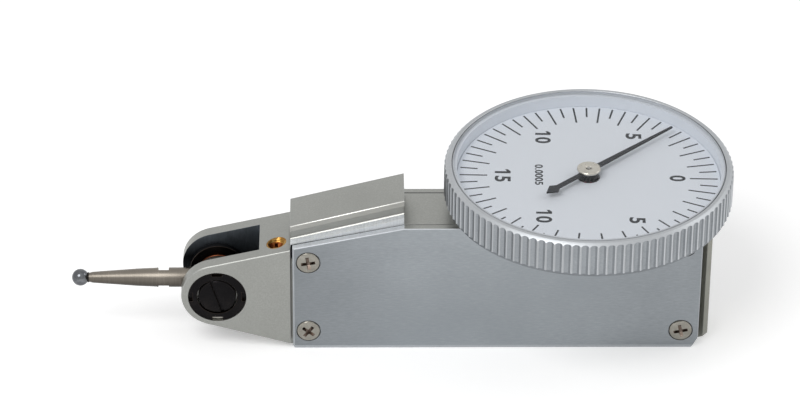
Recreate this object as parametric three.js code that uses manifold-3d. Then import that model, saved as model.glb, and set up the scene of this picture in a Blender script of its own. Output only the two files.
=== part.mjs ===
// Dial test indicator: a slim case with a forked nose, a swivelling ball-ended stylus,
// a lever, sector and crown wheel movement between jewelled plates, and a round dial on top.
// Millimetres, +Z up, stylus towards -X, +Y the far side. The origin is on the flat underside,
// straight below the axis of the dial.
import * as THREE from 'three';
import { mergeVertices } from 'three/addons/utils/BufferGeometryUtils.js';
import Module from 'manifold-3d';

const wasm = await Module();
wasm.setup();

// Case, cover plates and cover screws. Reaches are distances ahead of the dial's axis.
const caseHeight = 16.87;
const caseRear = 13.3;
const plateReach = 34.6;
const plateFrontDrop = 2.82;
const coreWidth = 6.54;
const plateThickness = 1;
const plateFrontChamfer = 0.4;
const rearChamferWidth = 0.76;
const rearChamferHeight = 1.5;
const coverHeadRadius = 1.35;
const coverHeadThickness = 0.34;
const coverHeadRecess = 0.06;
const coverHeadClearance = 0.1;
const coverShankRadius = 0.65;
const coverShankLength = 2.6;
const coverScrewInset = 2.1;
const coverScrewRise = 2.5;
const frontScrewDrop = 1.9;
const crossRecessDepth = 0.2;
const crossRecessWidth = 0.34;
const crossRecessSpan = 1.5;

// Nose with its fork, and the screws and lock rings that carry the lever
const noseWidth = 8.3;
const noseLength = 8.54;
const leverHeight = 7.25;
const noseTipRadius = 4.2;
const noseTipLift = 0.16;
const noseTopSlope = THREE.MathUtils.degToRad(13.5);
const noseBottomSlope = THREE.MathUtils.degToRad(16.4);
const cheekThickness = 1.55;
const forkDepth = 4.94;
const lockRingRadius = 3.35;
const lockRingPlay = 0.1;
const lockRingThickness = 0.8;
const lockRingRecess = 0.06;
const lockRingClearance = 0.06;
const lockNotchCount = 4;
const lockNotchWidth = 0.95;
const lockNotchDepth = 0.42;
const pivotHeadRadius = 2.2;
const pivotHeadGap = 0.08;
const pivotShankRadius = 1.5;
const pivotSlotWidth = 0.4;
const pivotSlotDepth = 0.3;
const pivotSlotTilt = THREE.MathUtils.degToRad(17);
const pivotTipRadius = 0.32;
const pivotTipLength = 0.55;

// Adjusting screw in the nose's top
const adjusterAhead = 1.6;
const adjusterSide = 1.9;
const adjusterRadius = 1.12;
const adjusterLength = 2.7;
const adjusterDepth = 0.55;
const adjusterSlotWidth = 0.36;
const adjusterSlotDepth = 0.5;

// Dovetails that the holder grips
const dovetailWidth = 6;
const dovetailToBezel = 4.61;
const dovetailSlope = THREE.MathUtils.degToRad(15);
const dovetailHeight = 2.2;
const dovetailLand = 0.7;
const dovetailInset = 0.75;
const shoulderLift = 0.11;
const shoulderDepth = 3;
const rearDovetailDepth = 1.2;
const rearDovetailLand = 0.55;
const rearDovetailInset = 0.65;
const rearDovetailChamfer = 1.25;

// Stylus and the friction stack that it swivels in
const stylusLength = 16.16;
const ballRadius = 1;
const ballSeatDepth = 0.12;
const neckRadius = 0.62;
const neckLength = 0.45;
const stylusRadius = 1.15;
const taperStart = 7.16;
const spannerFlatLength = 1.4;
const spannerFlatDepth = 0.28;
const stylusThreadRadius = 0.7;
const stylusThreadDepth = 1.1;
const hubRadius = 2.4;
const hubWidth = 2.2;
const washerInset = 0.1;
const washerThickness = 0.38;
const earRadius = 2.5;
const forkPlay = 0.35;
const axleRadius = 0.75;
const yokeGap = 0.25;
const yokeDepth = 0.95;
const yokeHeight = 2.4;
const armHeight = 1.6;
const armTipHeight = 1.3;
const armWidth = 1.2;
const armOverhang = 0.7;
const channelHeight = 4;
const channelWidth = 2;

// Gear train. A pitch radius is half the module times the tooth count.
const leverRatio = 4;
const sectorModule = 0.2;
const sectorFullTeeth = 100;
const sectorTeeth = 8;
const crownPinionTeeth = 12;
const crownCaseMargin = 3.635;
const crownTeeth = 40;
const centrePinionTeeth = 10;
const sectorThickness = 0.8;
const sectorSide = 1.35;
const sectorRimDepth = 1.1;
const sectorArmWidth = 1.5;
const sectorHubRadius = 1.4;
const tailOverhang = 0.9;
const tailWidth = 2;
const drivePinRadius = 0.35;
const drivePinClearance = 0.07;
const arborRadius = 0.45;
const arborPivotRadius = 0.25;
const arborPivotLength = 0.62;
const crownPinionWidth = 1.1;
const crownToothLength = 0.6;
const crownToothRise = 0.5;
const crownDiscThickness = 0.5;
const crownWindowCount = 4;
const crownWindowMargin = 0.87;
const centrePinionWidth = 1.2;

// Movement plates, centre cock, jewels and the cavity that holds them
const movementPlateThickness = 0.75;
const movementPlateGap = 0.07;
const movementPlateOverhang = 2.4;
const movementPlateRearInset = 3.4;
const movementPlateBottom = 1;
const movementPlateTopInset = 1.4;
const movementPlateClearance = 0.1;
const movementHeadRadius = 0.8;
const movementHeadThickness = 0.35;
const movementShankRadius = 0.45;
const movementShankLength = 2;
const frontMovementScrewInset = 1.4;
const rearMovementScrewInset = 0.95;
const movementScrewEdge = 1.8;
const cavityRearInset = 1.9;
const cavityFloorGap = 0.55;
const cavityRoofThickness = 2.4;
const cavityStepGap = 1.1;
const trainRoomGap = 1;
const trainRoomHeight = 5.6;
const jewelRadius = 0.8;
const jewelThickness = 0.45;
const jewelBoreRadius = 0.31;
const cockToothGap = 0.2;
const cockThickness = 1;
const cockFootHeight = 0.8;
const cockLegNear = 2.2;
const cockLegThickness = 1.2;
const cockFootGap = 0.4;
const cockScrewInset = 0.98;
const cockNose = 1;
const cockPinionGap = 0.18;
const cockJewelWall = 0.2;
const cockScrewHeadRadius = 0.72;
const cockScrewHeadThickness = 0.5;
const cockScrewRadius = 0.4;
const cockScrewLength = 2.2;
const endStoneThickness = 0.35;

// Dial base, dial, bezel and crystal, stacked upwards from the case
const neckHeight = 2.03;
const neckEndInset = 2.3;
const neckWidth = 8;
const flangeInset = 0.05;
const flangeThickness = 1.2;
const springRoomRadius = 3.4;
const springRoomDepth = 1.85;
const baseScrewInset = 3;
const baseScrewRadius = 0.8;
const baseScrewHeadRadius = 1.5;
const baseScrewHeadThickness = 0.65;
const baseScrewGrip = 1.3;
const ringWireRadius = 0.27;
const ringWirePlay = 0.08;
const ringWireGap = THREE.MathUtils.degToRad(24);
const wireFacets = 6;
const bezelRunningGap = 0.2;
const bezelLipGap = 0.1;
const bezelLipThickness = 0.55;
const bezelLipDepth = 0.65;
const bezelSkirt = 0.35;
const bezelRadius = 16.74;
const bezelWall = 0.89;
const bezelTopChamfer = 0.42;
const bezelBottomChamfer = 0.25;
const bezelRimRise = 0.37;
const fluteCount = 105;
const fluteDepth = 0.3;
const dialThickness = 0.5;
const dialHoleRadius = 1.3;
const handCrystalGap = 0.16;
const crystalLedge = 0.55;
const crystalThickness = 0.45;

// Hand, its hub and the spiral return spring
const handAngle = THREE.MathUtils.degToRad(42.4);
const handTipInset = 1.35;
const handTailReach = 7.1;
const handRootWidth = 0.75;
const handTipWidth = 0.24;
const handEyeRadius = 1.2;
const handThickness = 0.2;
const handLift = 0.75;
const tailStemWidth = 0.62;
const tailBarbReach = 5.7;
const tailHeadStart = 4.7;
const tailHeadWidth = 1.9;
const handHubRadius = 1.37;
const handHubThickness = 0.34;
const handCollarRadius = 1.13;
const handCollarHeight = 0.66;
const centreArborRadius = 0.4;
const colletRadius = 0.8;
const colletHeight = 0.6;
const hairspringTurns = 3.5;
const hairspringColletGap = 0.35;
const hairspringRoomGap = 0.65;
const hairspringStrip = 0.12;
const hairspringHeight = 0.4;
const hairspringDrop = 0.75;
const studLength = 0.55;
const studWidth = 0.7;
const studGap = 0.15;

// Clearances shared by many pieces
const fitClearance = 0.05;
const holeClearance = 0.06;
const cutOverrun = 0.5;

// Facet counts
const wheelFacets = 48;
const largeFacets = 32;
const mediumFacets = 20;
const smallFacets = 14;
const tinyFacets = 8;

// Tooth proportions, as shares of a module or of one tooth's pitch
const addendumShare = 0.85;
const dedendumShare = 1.15;
const toothTipShare = 0.11;
const toothPitchShare = 0.21;
const toothRootShare = 0.31;

// Places along and across the case, worked out from the sizes above
const coreSide = coreWidth / 2;
const plateSide = coreSide + plateThickness;
const plateFrontHeight = caseHeight - plateFrontDrop;
const dovetailRearReach = bezelRadius + dovetailToBezel;
const noseSide = noseWidth / 2;
const pivotReach = plateReach + noseLength;
const forkFloorReach = pivotReach - forkDepth;
const forkSide = noseSide - cheekThickness;
const adjusterReach = plateReach + adjusterAhead;

const lockRingBoreRadius = pivotHeadRadius + lockRingPlay;
const pivotHeadThickness = lockRingThickness - pivotHeadGap;

// Half widths of the stack on the lever's axle, from the hub out to the fork
const hubSide = hubWidth / 2;
const washerRadius = hubRadius - washerInset;
const washerInner = hubSide + fitClearance;
const washerOuter = washerInner + washerThickness;
const earOuter = forkSide - forkPlay;
const stylusReach = pivotReach + stylusLength;
const taperEndReach = pivotReach + taperStart;

// Gear train, movement plates and the room round them
const sectorRadius = sectorModule * sectorFullTeeth / 2;
const crownPinionRadius = sectorModule * crownPinionTeeth / 2;
const crownRadius = caseHeight / 2 - crownCaseMargin;
const crownRimRadius = crownRadius + crownToothLength / 2;
const crownModule = 2 * crownRadius / crownTeeth;
const centrePinionRadius = crownModule * centrePinionTeeth / 2;
const crownToothTip = centrePinionRadius - addendumShare * crownModule;
const crownDiscInner = crownToothTip + crownToothRise;
const crownDiscOuter = crownDiscInner + crownDiscThickness;
const crownMeshHeight = leverHeight + crownRadius;
const sectorReach = sectorRadius + crownPinionRadius;
const tailLength = (pivotReach - sectorReach) / (leverRatio + 1);
const drivePinReach = sectorReach + tailLength;
const trainRoomFront = drivePinReach + tailOverhang + trainRoomGap;
const movementPlateOuter = coreSide - movementPlateGap;
const movementPlateInner = movementPlateOuter - movementPlateThickness;
const movementPlateFront = sectorReach + movementPlateOverhang;
const movementPlateRear = caseRear - movementPlateRearInset;
const movementPlateTop = caseHeight - movementPlateTopInset;
const cavityStepReach = crownRimRadius + cavityStepGap;
const cavityRear = movementPlateRear - cavityRearInset;
const cavityFloor = leverHeight - crownRimRadius - cavityFloorGap;
const cavityRoof = caseHeight - cavityRoofThickness;
const crownPinionTop = leverHeight + crownPinionRadius + addendumShare * sectorModule;
const cockWidth = 2 * (crownToothTip - cockToothGap);
const cockJewelRadius = cockWidth / 2 - cockJewelWall;
const centrePivotHeight = crownPinionTop + cockPinionGap + cockThickness;
const endStoneTop = centrePivotHeight - jewelThickness;
const cockLegFar = cockLegNear + cockLegThickness;
const cockScrewPlace = cockLegFar + cockScrewInset;

// Dial base, bezel, dial, crystal and hand
const crystalRadius = bezelRadius - bezelWall - fitClearance;
const dialRadius = crystalRadius - crystalLedge;
const flangeRadius = dialRadius - flangeInset;
const neckHalfLength = caseRear - neckEndInset;
const baseScrewPlace = neckHalfLength - baseScrewInset;
const flangeBottom = caseHeight + neckHeight;
const flangeTop = flangeBottom + flangeThickness;
const springMiddle = (flangeBottom + flangeTop) / 2;
const springRadius = flangeRadius + bezelRunningGap / 2;
const dialBottom = flangeTop + bezelLipGap + bezelLipThickness;
const dialFace = dialBottom + dialThickness;
const handReach = dialRadius - handTipInset;
const handBottom = dialFace + handLift;
const arborTop = handBottom + handThickness + handHubThickness;
const crystalBottom = arborTop + handCrystalGap;
const hairspringMiddle = caseHeight + springRoomDepth - hairspringDrop;
const hairspringInner = colletRadius + hairspringColletGap;
const hairspringOuter = springRoomRadius - hairspringRoomGap;

const satinChrome = new THREE.MeshStandardMaterial({ color: 0x9c9c99, roughness: 0.42, metalness: 1 });
const brushedPlate = new THREE.MeshStandardMaterial({ color: 0x969b9f, roughness: 0.38, metalness: 1 });
const nickel = new THREE.MeshStandardMaterial({ color: 0xb9b4a9, roughness: 0.25, metalness: 1 });
const blackOxide = new THREE.MeshStandardMaterial({ color: 0x1d1c1e, roughness: 0.5, metalness: 0.8 });
const steel = new THREE.MeshStandardMaterial({ color: 0xa9a7a2, roughness: 0.22, metalness: 1 });
const polishedBall = new THREE.MeshStandardMaterial({ color: 0x8c9096, roughness: 0.08, metalness: 1 });
const copper = new THREE.MeshStandardMaterial({ color: 0x8a5a3c, roughness: 0.4, metalness: 1 });
const brass = new THREE.MeshStandardMaterial({ color: 0xb08a45, roughness: 0.35, metalness: 1 });
const blueSteel = new THREE.MeshStandardMaterial({ color: 0x2d3c66, roughness: 0.3, metalness: 1 });
const ruby = new THREE.MeshStandardMaterial({ color: 0xa01832, roughness: 0.1, metalness: 0 });
const dialWhite = new THREE.MeshStandardMaterial({ color: 0xd6dadf, roughness: 0.5, metalness: 0 });
const bezelChrome = new THREE.MeshStandardMaterial({ color: 0xa8acaf, roughness: 0.3, metalness: 1 });
const handGrey = new THREE.MeshStandardMaterial({ color: 0x3b3d42, roughness: 0.4, metalness: 0.6 });
const clearCrystal = new THREE.MeshStandardMaterial({
  color: 0xffffff, roughness: 0.03, metalness: 0, transparent: true, opacity: 0.2,
});

const indicator = new THREE.Group();

// Turns a closed geometry into a solid, dropping triangles that shrink to a line on an axis.
function toSolid(geometry) {
  const bare = geometry.clone();
  bare.deleteAttribute('normal');
  bare.deleteAttribute('uv');
  const merged = mergeVertices(bare, 1e-4);
  const corners = merged.index.array;
  const kept = [];
  for (let i = 0; i < corners.length; i += 3) {
    const [a, b, c] = [corners[i], corners[i + 1], corners[i + 2]];
    if (a !== b && b !== c && c !== a) kept.push(a, b, c);
  }
  const vertProperties = new Float32Array(merged.attributes.position.array);
  return new wasm.Manifold(new wasm.Mesh({ numProp: 3, vertProperties, triVerts: new Uint32Array(kept) }));
}

// Turns a solid back into a geometry and hangs it in the group under its name.
function addPiece(name, solid, material) {
  const mesh = solid.getMesh();
  const geometry = new THREE.BufferGeometry();
  geometry.setAttribute('position', new THREE.BufferAttribute(new Float32Array(mesh.vertProperties), 3));
  geometry.setIndex(new THREE.BufferAttribute(new Uint32Array(mesh.triVerts), 1));
  geometry.computeVertexNormals();
  const piece = new THREE.Mesh(geometry, material);
  piece.name = name;
  indicator.add(piece);
}

function join(solids) {
  return solids.reduce((whole, next) => whole.add(next));
}

function cut(solid, tools) {
  return tools.reduce((left, tool) => left.subtract(tool), solid);
}

function shapeOf(points) {
  return new THREE.Shape(points.map(([across, up]) => new THREE.Vector2(across, up)));
}

function extrude(shape, depth) {
  return new THREE.ExtrudeGeometry(shape, { depth, bevelEnabled: false, curveSegments: largeFacets });
}

// A prism of an outline in x and z, between two places along Y
function prismAlongY(points, low, high) {
  const geometry = extrude(shapeOf(points), high - low);
  const xAxis = new THREE.Vector3(1, 0, 0);
  const zAxis = new THREE.Vector3(0, 0, 1);
  geometry.applyMatrix4(new THREE.Matrix4().makeBasis(xAxis, zAxis, new THREE.Vector3(0, -1, 0)));
  geometry.translate(0, high, 0);
  return toSolid(geometry);
}

// A prism of an outline in y and z, between two places along X
function prismAlongX(points, low, high) {
  const geometry = extrude(shapeOf(points), high - low);
  const yAxis = new THREE.Vector3(0, 1, 0);
  const zAxis = new THREE.Vector3(0, 0, 1);
  geometry.applyMatrix4(new THREE.Matrix4().makeBasis(yAxis, zAxis, new THREE.Vector3(1, 0, 0)));
  geometry.translate(low, 0, 0);
  return toSolid(geometry);
}

// A prism of an outline in x and y, between two heights
function prismAlongZ(points, low, high) {
  const geometry = extrude(shapeOf(points), high - low);
  geometry.translate(0, 0, low);
  return toSolid(geometry);
}

function boxBetween(low, high) {
  const size = high.map((value, axis) => value - low[axis]);
  const geometry = new THREE.BoxGeometry(...size);
  geometry.translate(...high.map((value, axis) => (value + low[axis]) / 2));
  return toSolid(geometry);
}

// A round bar along Y, at a place in x and z
function barAlongY(radius, low, high, x, z, facets = smallFacets) {
  const geometry = new THREE.CylinderGeometry(radius, radius, high - low, facets);
  geometry.translate(x, (low + high) / 2, z);
  return toSolid(geometry);
}

// A round bar along Z, at a place in x and y
function barAlongZ(radius, low, high, x, y, facets = smallFacets) {
  const geometry = new THREE.CylinderGeometry(radius, radius, high - low, facets);
  geometry.rotateX(Math.PI / 2);
  geometry.translate(x, y, (low + high) / 2);
  return toSolid(geometry);
}

// A turned solid about Z. The profile runs anticlockwise in radius and height.
function turnedAboutZ(profile, facets) {
  const points = profile.map(([radius, height]) => new THREE.Vector2(radius, height));
  const geometry = new THREE.LatheGeometry(points, facets);
  geometry.rotateX(Math.PI / 2);
  return toSolid(geometry);
}

// A turned solid about X, whose profile runs from the rear forwards, as radius and reach
function turnedAboutX(profile, facets, z) {
  const points = profile.map(([radius, reach]) => new THREE.Vector2(radius, reach));
  const geometry = new THREE.LatheGeometry(points, facets);
  geometry.rotateZ(Math.PI / 2);
  geometry.translate(0, 0, z);
  return toSolid(geometry);
}

function ringAlongY(outer, inner, low, high, x, z, facets) {
  const bore = barAlongY(inner, low - cutOverrun, high + cutOverrun, x, z, facets);
  return barAlongY(outer, low, high, x, z, facets).subtract(bore);
}

function arcPoints(x, z, radius, start, end, steps) {
  const points = [];
  for (let step = 0; step <= steps; step += 1) {
    const angle = start + (end - start) * step / steps;
    points.push([x + radius * Math.cos(angle), z + radius * Math.sin(angle)]);
  }
  return points;
}

// Points of gear teeth at a set of tooth angles, about the origin of their own plane
function toothPoints(pitchRadius, module, pitchAngle, toothAngles) {
  const rootRadius = pitchRadius - dedendumShare * module;
  const tipRadius = pitchRadius + addendumShare * module;
  const flank = [
    [rootRadius, -toothRootShare], [pitchRadius, -toothPitchShare], [tipRadius, -toothTipShare],
    [tipRadius, toothTipShare], [pitchRadius, toothPitchShare], [rootRadius, toothRootShare],
  ];
  return toothAngles.flatMap((toothAngle) => flank.map(([radius, share]) => {
    const angle = toothAngle + share * pitchAngle;
    return [radius * Math.cos(angle), radius * Math.sin(angle)];
  }));
}

// All the teeth of a full wheel, the first one at the phase angle
function wheelPoints(teeth, module, phase) {
  const pitchAngle = 2 * Math.PI / teeth;
  const angles = Array.from({ length: teeth }, (unused, index) => phase + index * pitchAngle);
  return toothPoints(module * teeth / 2, module, pitchAngle, angles);
}

function shifted(points, x, z) {
  return points.map(([across, up]) => [across + x, up + z]);
}

// Places of the four cover screws on one side, as x and z
const coverScrewPlaces = [
  [coverScrewInset - plateReach, plateFrontHeight - frontScrewDrop],
  [coverScrewInset - plateReach, coverScrewRise],
  [caseRear - coverScrewInset, caseHeight - coverScrewRise],
  [caseRear - coverScrewInset, coverScrewRise],
];

const movementScrewPlaces = [
  [frontMovementScrewInset - movementPlateFront, movementPlateTop - movementScrewEdge],
  [movementPlateRear - rearMovementScrewInset, movementPlateBottom + movementScrewEdge],
];

function caseOutline(frontChamfer) {
  return [
    [frontChamfer - plateReach, 0],
    [caseRear - rearChamferWidth, 0],
    [caseRear, rearChamferHeight],
    [caseRear, caseHeight],
    [-dovetailRearReach, caseHeight],
    [-plateReach, plateFrontHeight],
    [-plateReach, frontChamfer],
  ];
}

// Height of the nose's upper or lower edge line at a reach, both tangent to the tip's arc
function noseTopAt(reach) {
  const rise = (pivotReach - reach) * Math.tan(noseTopSlope);
  return leverHeight + noseTipLift + noseTipRadius / Math.cos(noseTopSlope) + rise;
}

function noseBottomAt(reach) {
  const fall = (pivotReach - reach) * Math.tan(noseBottomSlope);
  return leverHeight + noseTipLift - noseTipRadius / Math.cos(noseBottomSlope) - fall;
}

function noseSolid() {
  const tipStart = Math.PI / 2 + noseTopSlope;
  const tipEnd = 3 * Math.PI / 2 - noseBottomSlope;
  const tipHeight = leverHeight + noseTipLift;
  const tip = arcPoints(-pivotReach, tipHeight, noseTipRadius, tipStart, tipEnd, smallFacets);
  const outline = [
    [-plateReach, noseBottomAt(plateReach)],
    [-plateReach, noseTopAt(plateReach)],
    ...tip,
  ];
  return prismAlongY(outline, -noseSide, noseSide);
}

// Adds a rise with x to every height, so that an end face stays upright on a sloping rail.
function sloped(solid, slope) {
  const rise = Math.tan(slope);
  return solid.warp((vertex) => {
    vertex[2] += rise * (vertex[0] + plateReach);
  });
}

function topDovetailSolid() {
  const half = dovetailWidth / 2;
  const root = half - dovetailInset;
  const shoulderTop = plateFrontHeight + shoulderLift;
  const railTop = shoulderTop + dovetailHeight;
  const railOutline = [
    [-root, shoulderTop - dovetailLand],
    [root, shoulderTop - dovetailLand],
    [root, shoulderTop],
    [half, railTop - dovetailLand],
    [half, railTop],
    [-half, railTop],
    [-half, railTop - dovetailLand],
    [-root, shoulderTop],
  ];
  const shoulderOutline = [
    [-coreSide, shoulderTop - shoulderDepth],
    [coreSide, shoulderTop - shoulderDepth],
    [coreSide, shoulderTop],
    [-coreSide, shoulderTop],
  ];
  const rail = prismAlongX(railOutline, -plateReach, -dovetailRearReach);
  const shoulder = prismAlongX(shoulderOutline, -plateReach, -dovetailRearReach);
  return sloped(rail.add(shoulder), dovetailSlope);
}

function rearDovetailSolid() {
  const half = dovetailWidth / 2;
  const root = half - rearDovetailInset;
  const end = caseRear + rearDovetailDepth;
  const outline = [
    [caseRear - cutOverrun, -root],
    [caseRear, -root],
    [end - rearDovetailLand, -half],
    [end, -half],
    [end, half],
    [end - rearDovetailLand, half],
    [caseRear, root],
    [caseRear - cutOverrun, root],
  ];
  const chamfer = [
    [end - rearDovetailChamfer, 0],
    [end - rearDovetailChamfer, -cutOverrun],
    [end + cutOverrun, -cutOverrun],
    [end + cutOverrun, rearDovetailChamfer + cutOverrun],
  ];
  return prismAlongZ(outline, 0, caseHeight).subtract(prismAlongY(chamfer, -noseSide, noseSide));
}

// Through room for the gear train, low at the sector's tail and full height round the crown wheel
function trainRoomTool() {
  const lowTop = leverHeight + trainRoomHeight / 2;
  const lowBottom = leverHeight - trainRoomHeight / 2;
  const outline = [
    [-trainRoomFront, lowBottom],
    [-cavityStepReach, lowBottom],
    [-cavityStepReach, cavityFloor],
    [cavityRear, cavityFloor],
    [cavityRear, cavityRoof],
    [-cavityStepReach, cavityRoof],
    [-cavityStepReach, lowTop],
    [-trainRoomFront, lowTop],
  ];
  return prismAlongY(outline, -plateSide, plateSide);
}

function movementPlatePockets() {
  const low = [-movementPlateFront - movementPlateClearance, movementPlateInner, movementPlateBottom];
  const high = [movementPlateRear + movementPlateClearance, plateSide, movementPlateTop];
  const farPocket = boxBetween(low, [high[0], high[1], high[2] + movementPlateClearance]);
  return [farPocket, farPocket.mirror([0, 1, 0])];
}

function leverChannelTool() {
  const low = [-forkFloorReach - cutOverrun, -channelWidth / 2, leverHeight - channelHeight / 2];
  const high = [cutOverrun - trainRoomFront, channelWidth / 2, leverHeight + channelHeight / 2];
  return boxBetween(low, high);
}

function forkGapTool() {
  const front = -pivotReach - 2 * noseTipRadius;
  return boxBetween([front, -forkSide, -cutOverrun], [-forkFloorReach, forkSide, caseHeight]);
}

function pivotSeatTools() {
  const seatRadius = lockRingRadius + lockRingClearance;
  const seatFloor = noseSide - lockRingThickness - lockRingRecess;
  const end = noseSide + cutOverrun;
  const seat = barAlongY(seatRadius, seatFloor, end, -pivotReach, leverHeight, largeFacets);
  const boreRadius = pivotShankRadius + fitClearance;
  const bore = barAlongY(boreRadius, forkSide - cutOverrun, end, -pivotReach, leverHeight, mediumFacets);
  const far = seat.add(bore);
  return [far, far.mirror([0, 1, 0])];
}

function screwHoleTools(places, radius, inner, outer) {
  const tools = places.map(([x, z]) => barAlongY(radius, inner, outer, x, z));
  return tools.flatMap((tool) => [tool, tool.mirror([0, 1, 0])]);
}

// Top and bottom of the adjusting screw, whose axis stands upright in the nose
const adjusterTop = noseTopAt(adjusterReach) - adjusterDepth;
const adjusterBottom = adjusterTop - adjusterLength;

function frameSolid() {
  const core = prismAlongY(caseOutline(0), -coreSide, coreSide);
  const blank = join([core, noseSolid(), topDovetailSolid(), rearDovetailSolid()]);
  const coverHoleEnd = coreSide - coverShankLength - cutOverrun;
  const movementHoleEnd = movementPlateInner - movementShankLength;
  const adjusterHole = barAlongZ(adjusterRadius + fitClearance, adjusterBottom - holeClearance,
    caseHeight, -adjusterReach, -adjusterSide);
  const baseScrewBottom = caseHeight - baseScrewGrip - holeClearance;
  const baseScrewHoles = [-1, 1].map((side) => barAlongZ(baseScrewRadius + holeClearance,
    baseScrewBottom, caseHeight + cutOverrun, side * baseScrewPlace, 0));
  const cockScrewHole = barAlongZ(cockScrewRadius + holeClearance, cavityRoof - cutOverrun,
    cavityRoof + cockScrewLength - cockFootHeight + holeClearance, cockScrewPlace, 0);
  return cut(blank, [
    trainRoomTool(),
    ...movementPlatePockets(),
    leverChannelTool(),
    forkGapTool(),
    ...pivotSeatTools(),
    ...screwHoleTools(coverScrewPlaces, coverShankRadius + holeClearance, coverHoleEnd, plateSide),
    ...screwHoleTools(movementScrewPlaces, movementShankRadius + holeClearance, movementHoleEnd, plateSide),
    adjusterHole,
    ...baseScrewHoles,
    cockScrewHole,
    barAlongZ(colletRadius + fitClearance, cavityRoof - cutOverrun, caseHeight + cutOverrun, 0, 0),
  ]);
}

// Cover plates and their screws, made for the far side and mirrored to the near one
function coverPlateSolid() {
  const blank = prismAlongY(caseOutline(plateFrontChamfer), coreSide, plateSide);
  const seatFloor = plateSide - coverHeadThickness - coverHeadRecess;
  const seats = coverScrewPlaces.map(([x, z]) => barAlongY(coverHeadRadius + coverHeadClearance,
    seatFloor, plateSide + cutOverrun, x, z, mediumFacets));
  const holes = coverScrewPlaces.map(([x, z]) => barAlongY(coverShankRadius + holeClearance,
    coreSide - cutOverrun, plateSide, x, z));
  return cut(blank, [...seats, ...holes]);
}

function coverScrewSolid([x, z]) {
  const headTop = plateSide - coverHeadRecess;
  const headBottom = headTop - coverHeadThickness;
  const head = barAlongY(coverHeadRadius, headBottom, headTop, x, z, mediumFacets);
  const shankTop = headTop - crossRecessDepth - fitClearance;
  const shank = barAlongY(coverShankRadius, coreSide - coverShankLength, shankTop, x, z, tinyFacets);
  const halfSpan = crossRecessSpan / 2;
  const halfWidth = crossRecessWidth / 2;
  const recessFloor = headTop - crossRecessDepth;
  const level = boxBetween([x - halfSpan, recessFloor, z - halfWidth],
    [x + halfSpan, headTop + cutOverrun, z + halfWidth]);
  const upright = boxBetween([x - halfWidth, recessFloor, z - halfSpan],
    [x + halfWidth, headTop + cutOverrun, z + halfSpan]);
  return cut(head.add(shank), [level, upright]);
}

function addCovers() {
  const farPlate = coverPlateSolid();
  addPiece('far_cover_plate', farPlate, brushedPlate);
  addPiece('near_cover_plate', farPlate.mirror([0, 1, 0]), brushedPlate);
  coverScrewPlaces.forEach((place, index) => {
    const screw = coverScrewSolid(place);
    addPiece(`far_cover_screw_${index + 1}`, screw, nickel);
    addPiece(`near_cover_screw_${index + 1}`, screw.mirror([0, 1, 0]), nickel);
  });
}

// Lock ring with four notches, round the head of a pivot screw
function lockRingSolid() {
  const top = noseSide - lockRingRecess;
  const bottom = top - lockRingThickness;
  const ring = ringAlongY(lockRingRadius, lockRingBoreRadius, bottom, top, 0, 0, largeFacets);
  const halfWidth = lockNotchWidth / 2;
  const inner = lockRingRadius - lockNotchDepth;
  const outer = lockRingRadius + cutOverrun;
  const notch = boxBetween([inner, bottom - cutOverrun, -halfWidth], [outer, top + cutOverrun, halfWidth]);
  const notches = Array.from({ length: lockNotchCount }, (unused, index) => (
    notch.rotate([0, THREE.MathUtils.radToDeg(2 * Math.PI * index / lockNotchCount), 0])
  ));
  return cut(ring, notches).translate([-pivotReach, 0, leverHeight]);
}

// Slotted pivot screw, whose small tip carries one end of the lever's axle
function pivotScrewSolid() {
  const top = noseSide - lockRingRecess;
  const headBottom = top - pivotHeadThickness;
  const shankEnd = earOuter + fitClearance;
  const tipEnd = earOuter - pivotTipLength;
  const head = barAlongY(pivotHeadRadius, headBottom, top, 0, 0, mediumFacets);
  const shank = barAlongY(pivotShankRadius, shankEnd, headBottom + fitClearance, 0, 0, mediumFacets);
  const tip = barAlongY(pivotTipRadius, tipEnd, shankEnd + fitClearance, 0, 0, tinyFacets);
  const halfWidth = pivotSlotWidth / 2;
  const slot = boxBetween([-halfWidth, top - pivotSlotDepth, -pivotHeadRadius - cutOverrun],
    [halfWidth, top + cutOverrun, pivotHeadRadius + cutOverrun]);
  const turned = slot.rotate([0, -THREE.MathUtils.radToDeg(pivotSlotTilt), 0]);
  return join([head, shank, tip]).subtract(turned).translate([-pivotReach, 0, leverHeight]);
}

// Lever: two ears on the axle, joined by a yoke behind the hub, and one arm that reaches the sector
function leverSolid() {
  const x = -pivotReach;
  const farEar = barAlongY(earRadius, washerOuter, earOuter, x, leverHeight, mediumFacets);
  const yokeStart = x + hubRadius + yokeGap;
  const yokeEnd = yokeStart + yokeDepth;
  const halfYoke = yokeHeight / 2;
  const farLink = boxBetween([x, washerOuter, leverHeight - halfYoke],
    [yokeEnd, earOuter, leverHeight + halfYoke]);
  const farSide = farEar.add(farLink);
  const bridge = boxBetween([yokeStart, -earOuter, leverHeight - halfYoke],
    [yokeEnd, earOuter, leverHeight + halfYoke]);
  const armEnd = armOverhang - drivePinReach;
  const armOutline = [
    [yokeStart, leverHeight - armHeight / 2],
    [armEnd, leverHeight - armTipHeight / 2],
    [armEnd, leverHeight + armTipHeight / 2],
    [yokeStart, leverHeight + armHeight / 2],
  ];
  const arm = prismAlongY(armOutline, -armWidth / 2, armWidth / 2);
  const axleHole = barAlongY(axleRadius + fitClearance, -noseSide, noseSide, x, leverHeight);
  const pinHole = barAlongY(drivePinRadius + fitClearance, -noseSide, noseSide,
    -drivePinReach, leverHeight, tinyFacets);
  return cut(join([farSide, farSide.mirror([0, 1, 0]), bridge, arm]), [axleHole, pinHole]);
}

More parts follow.
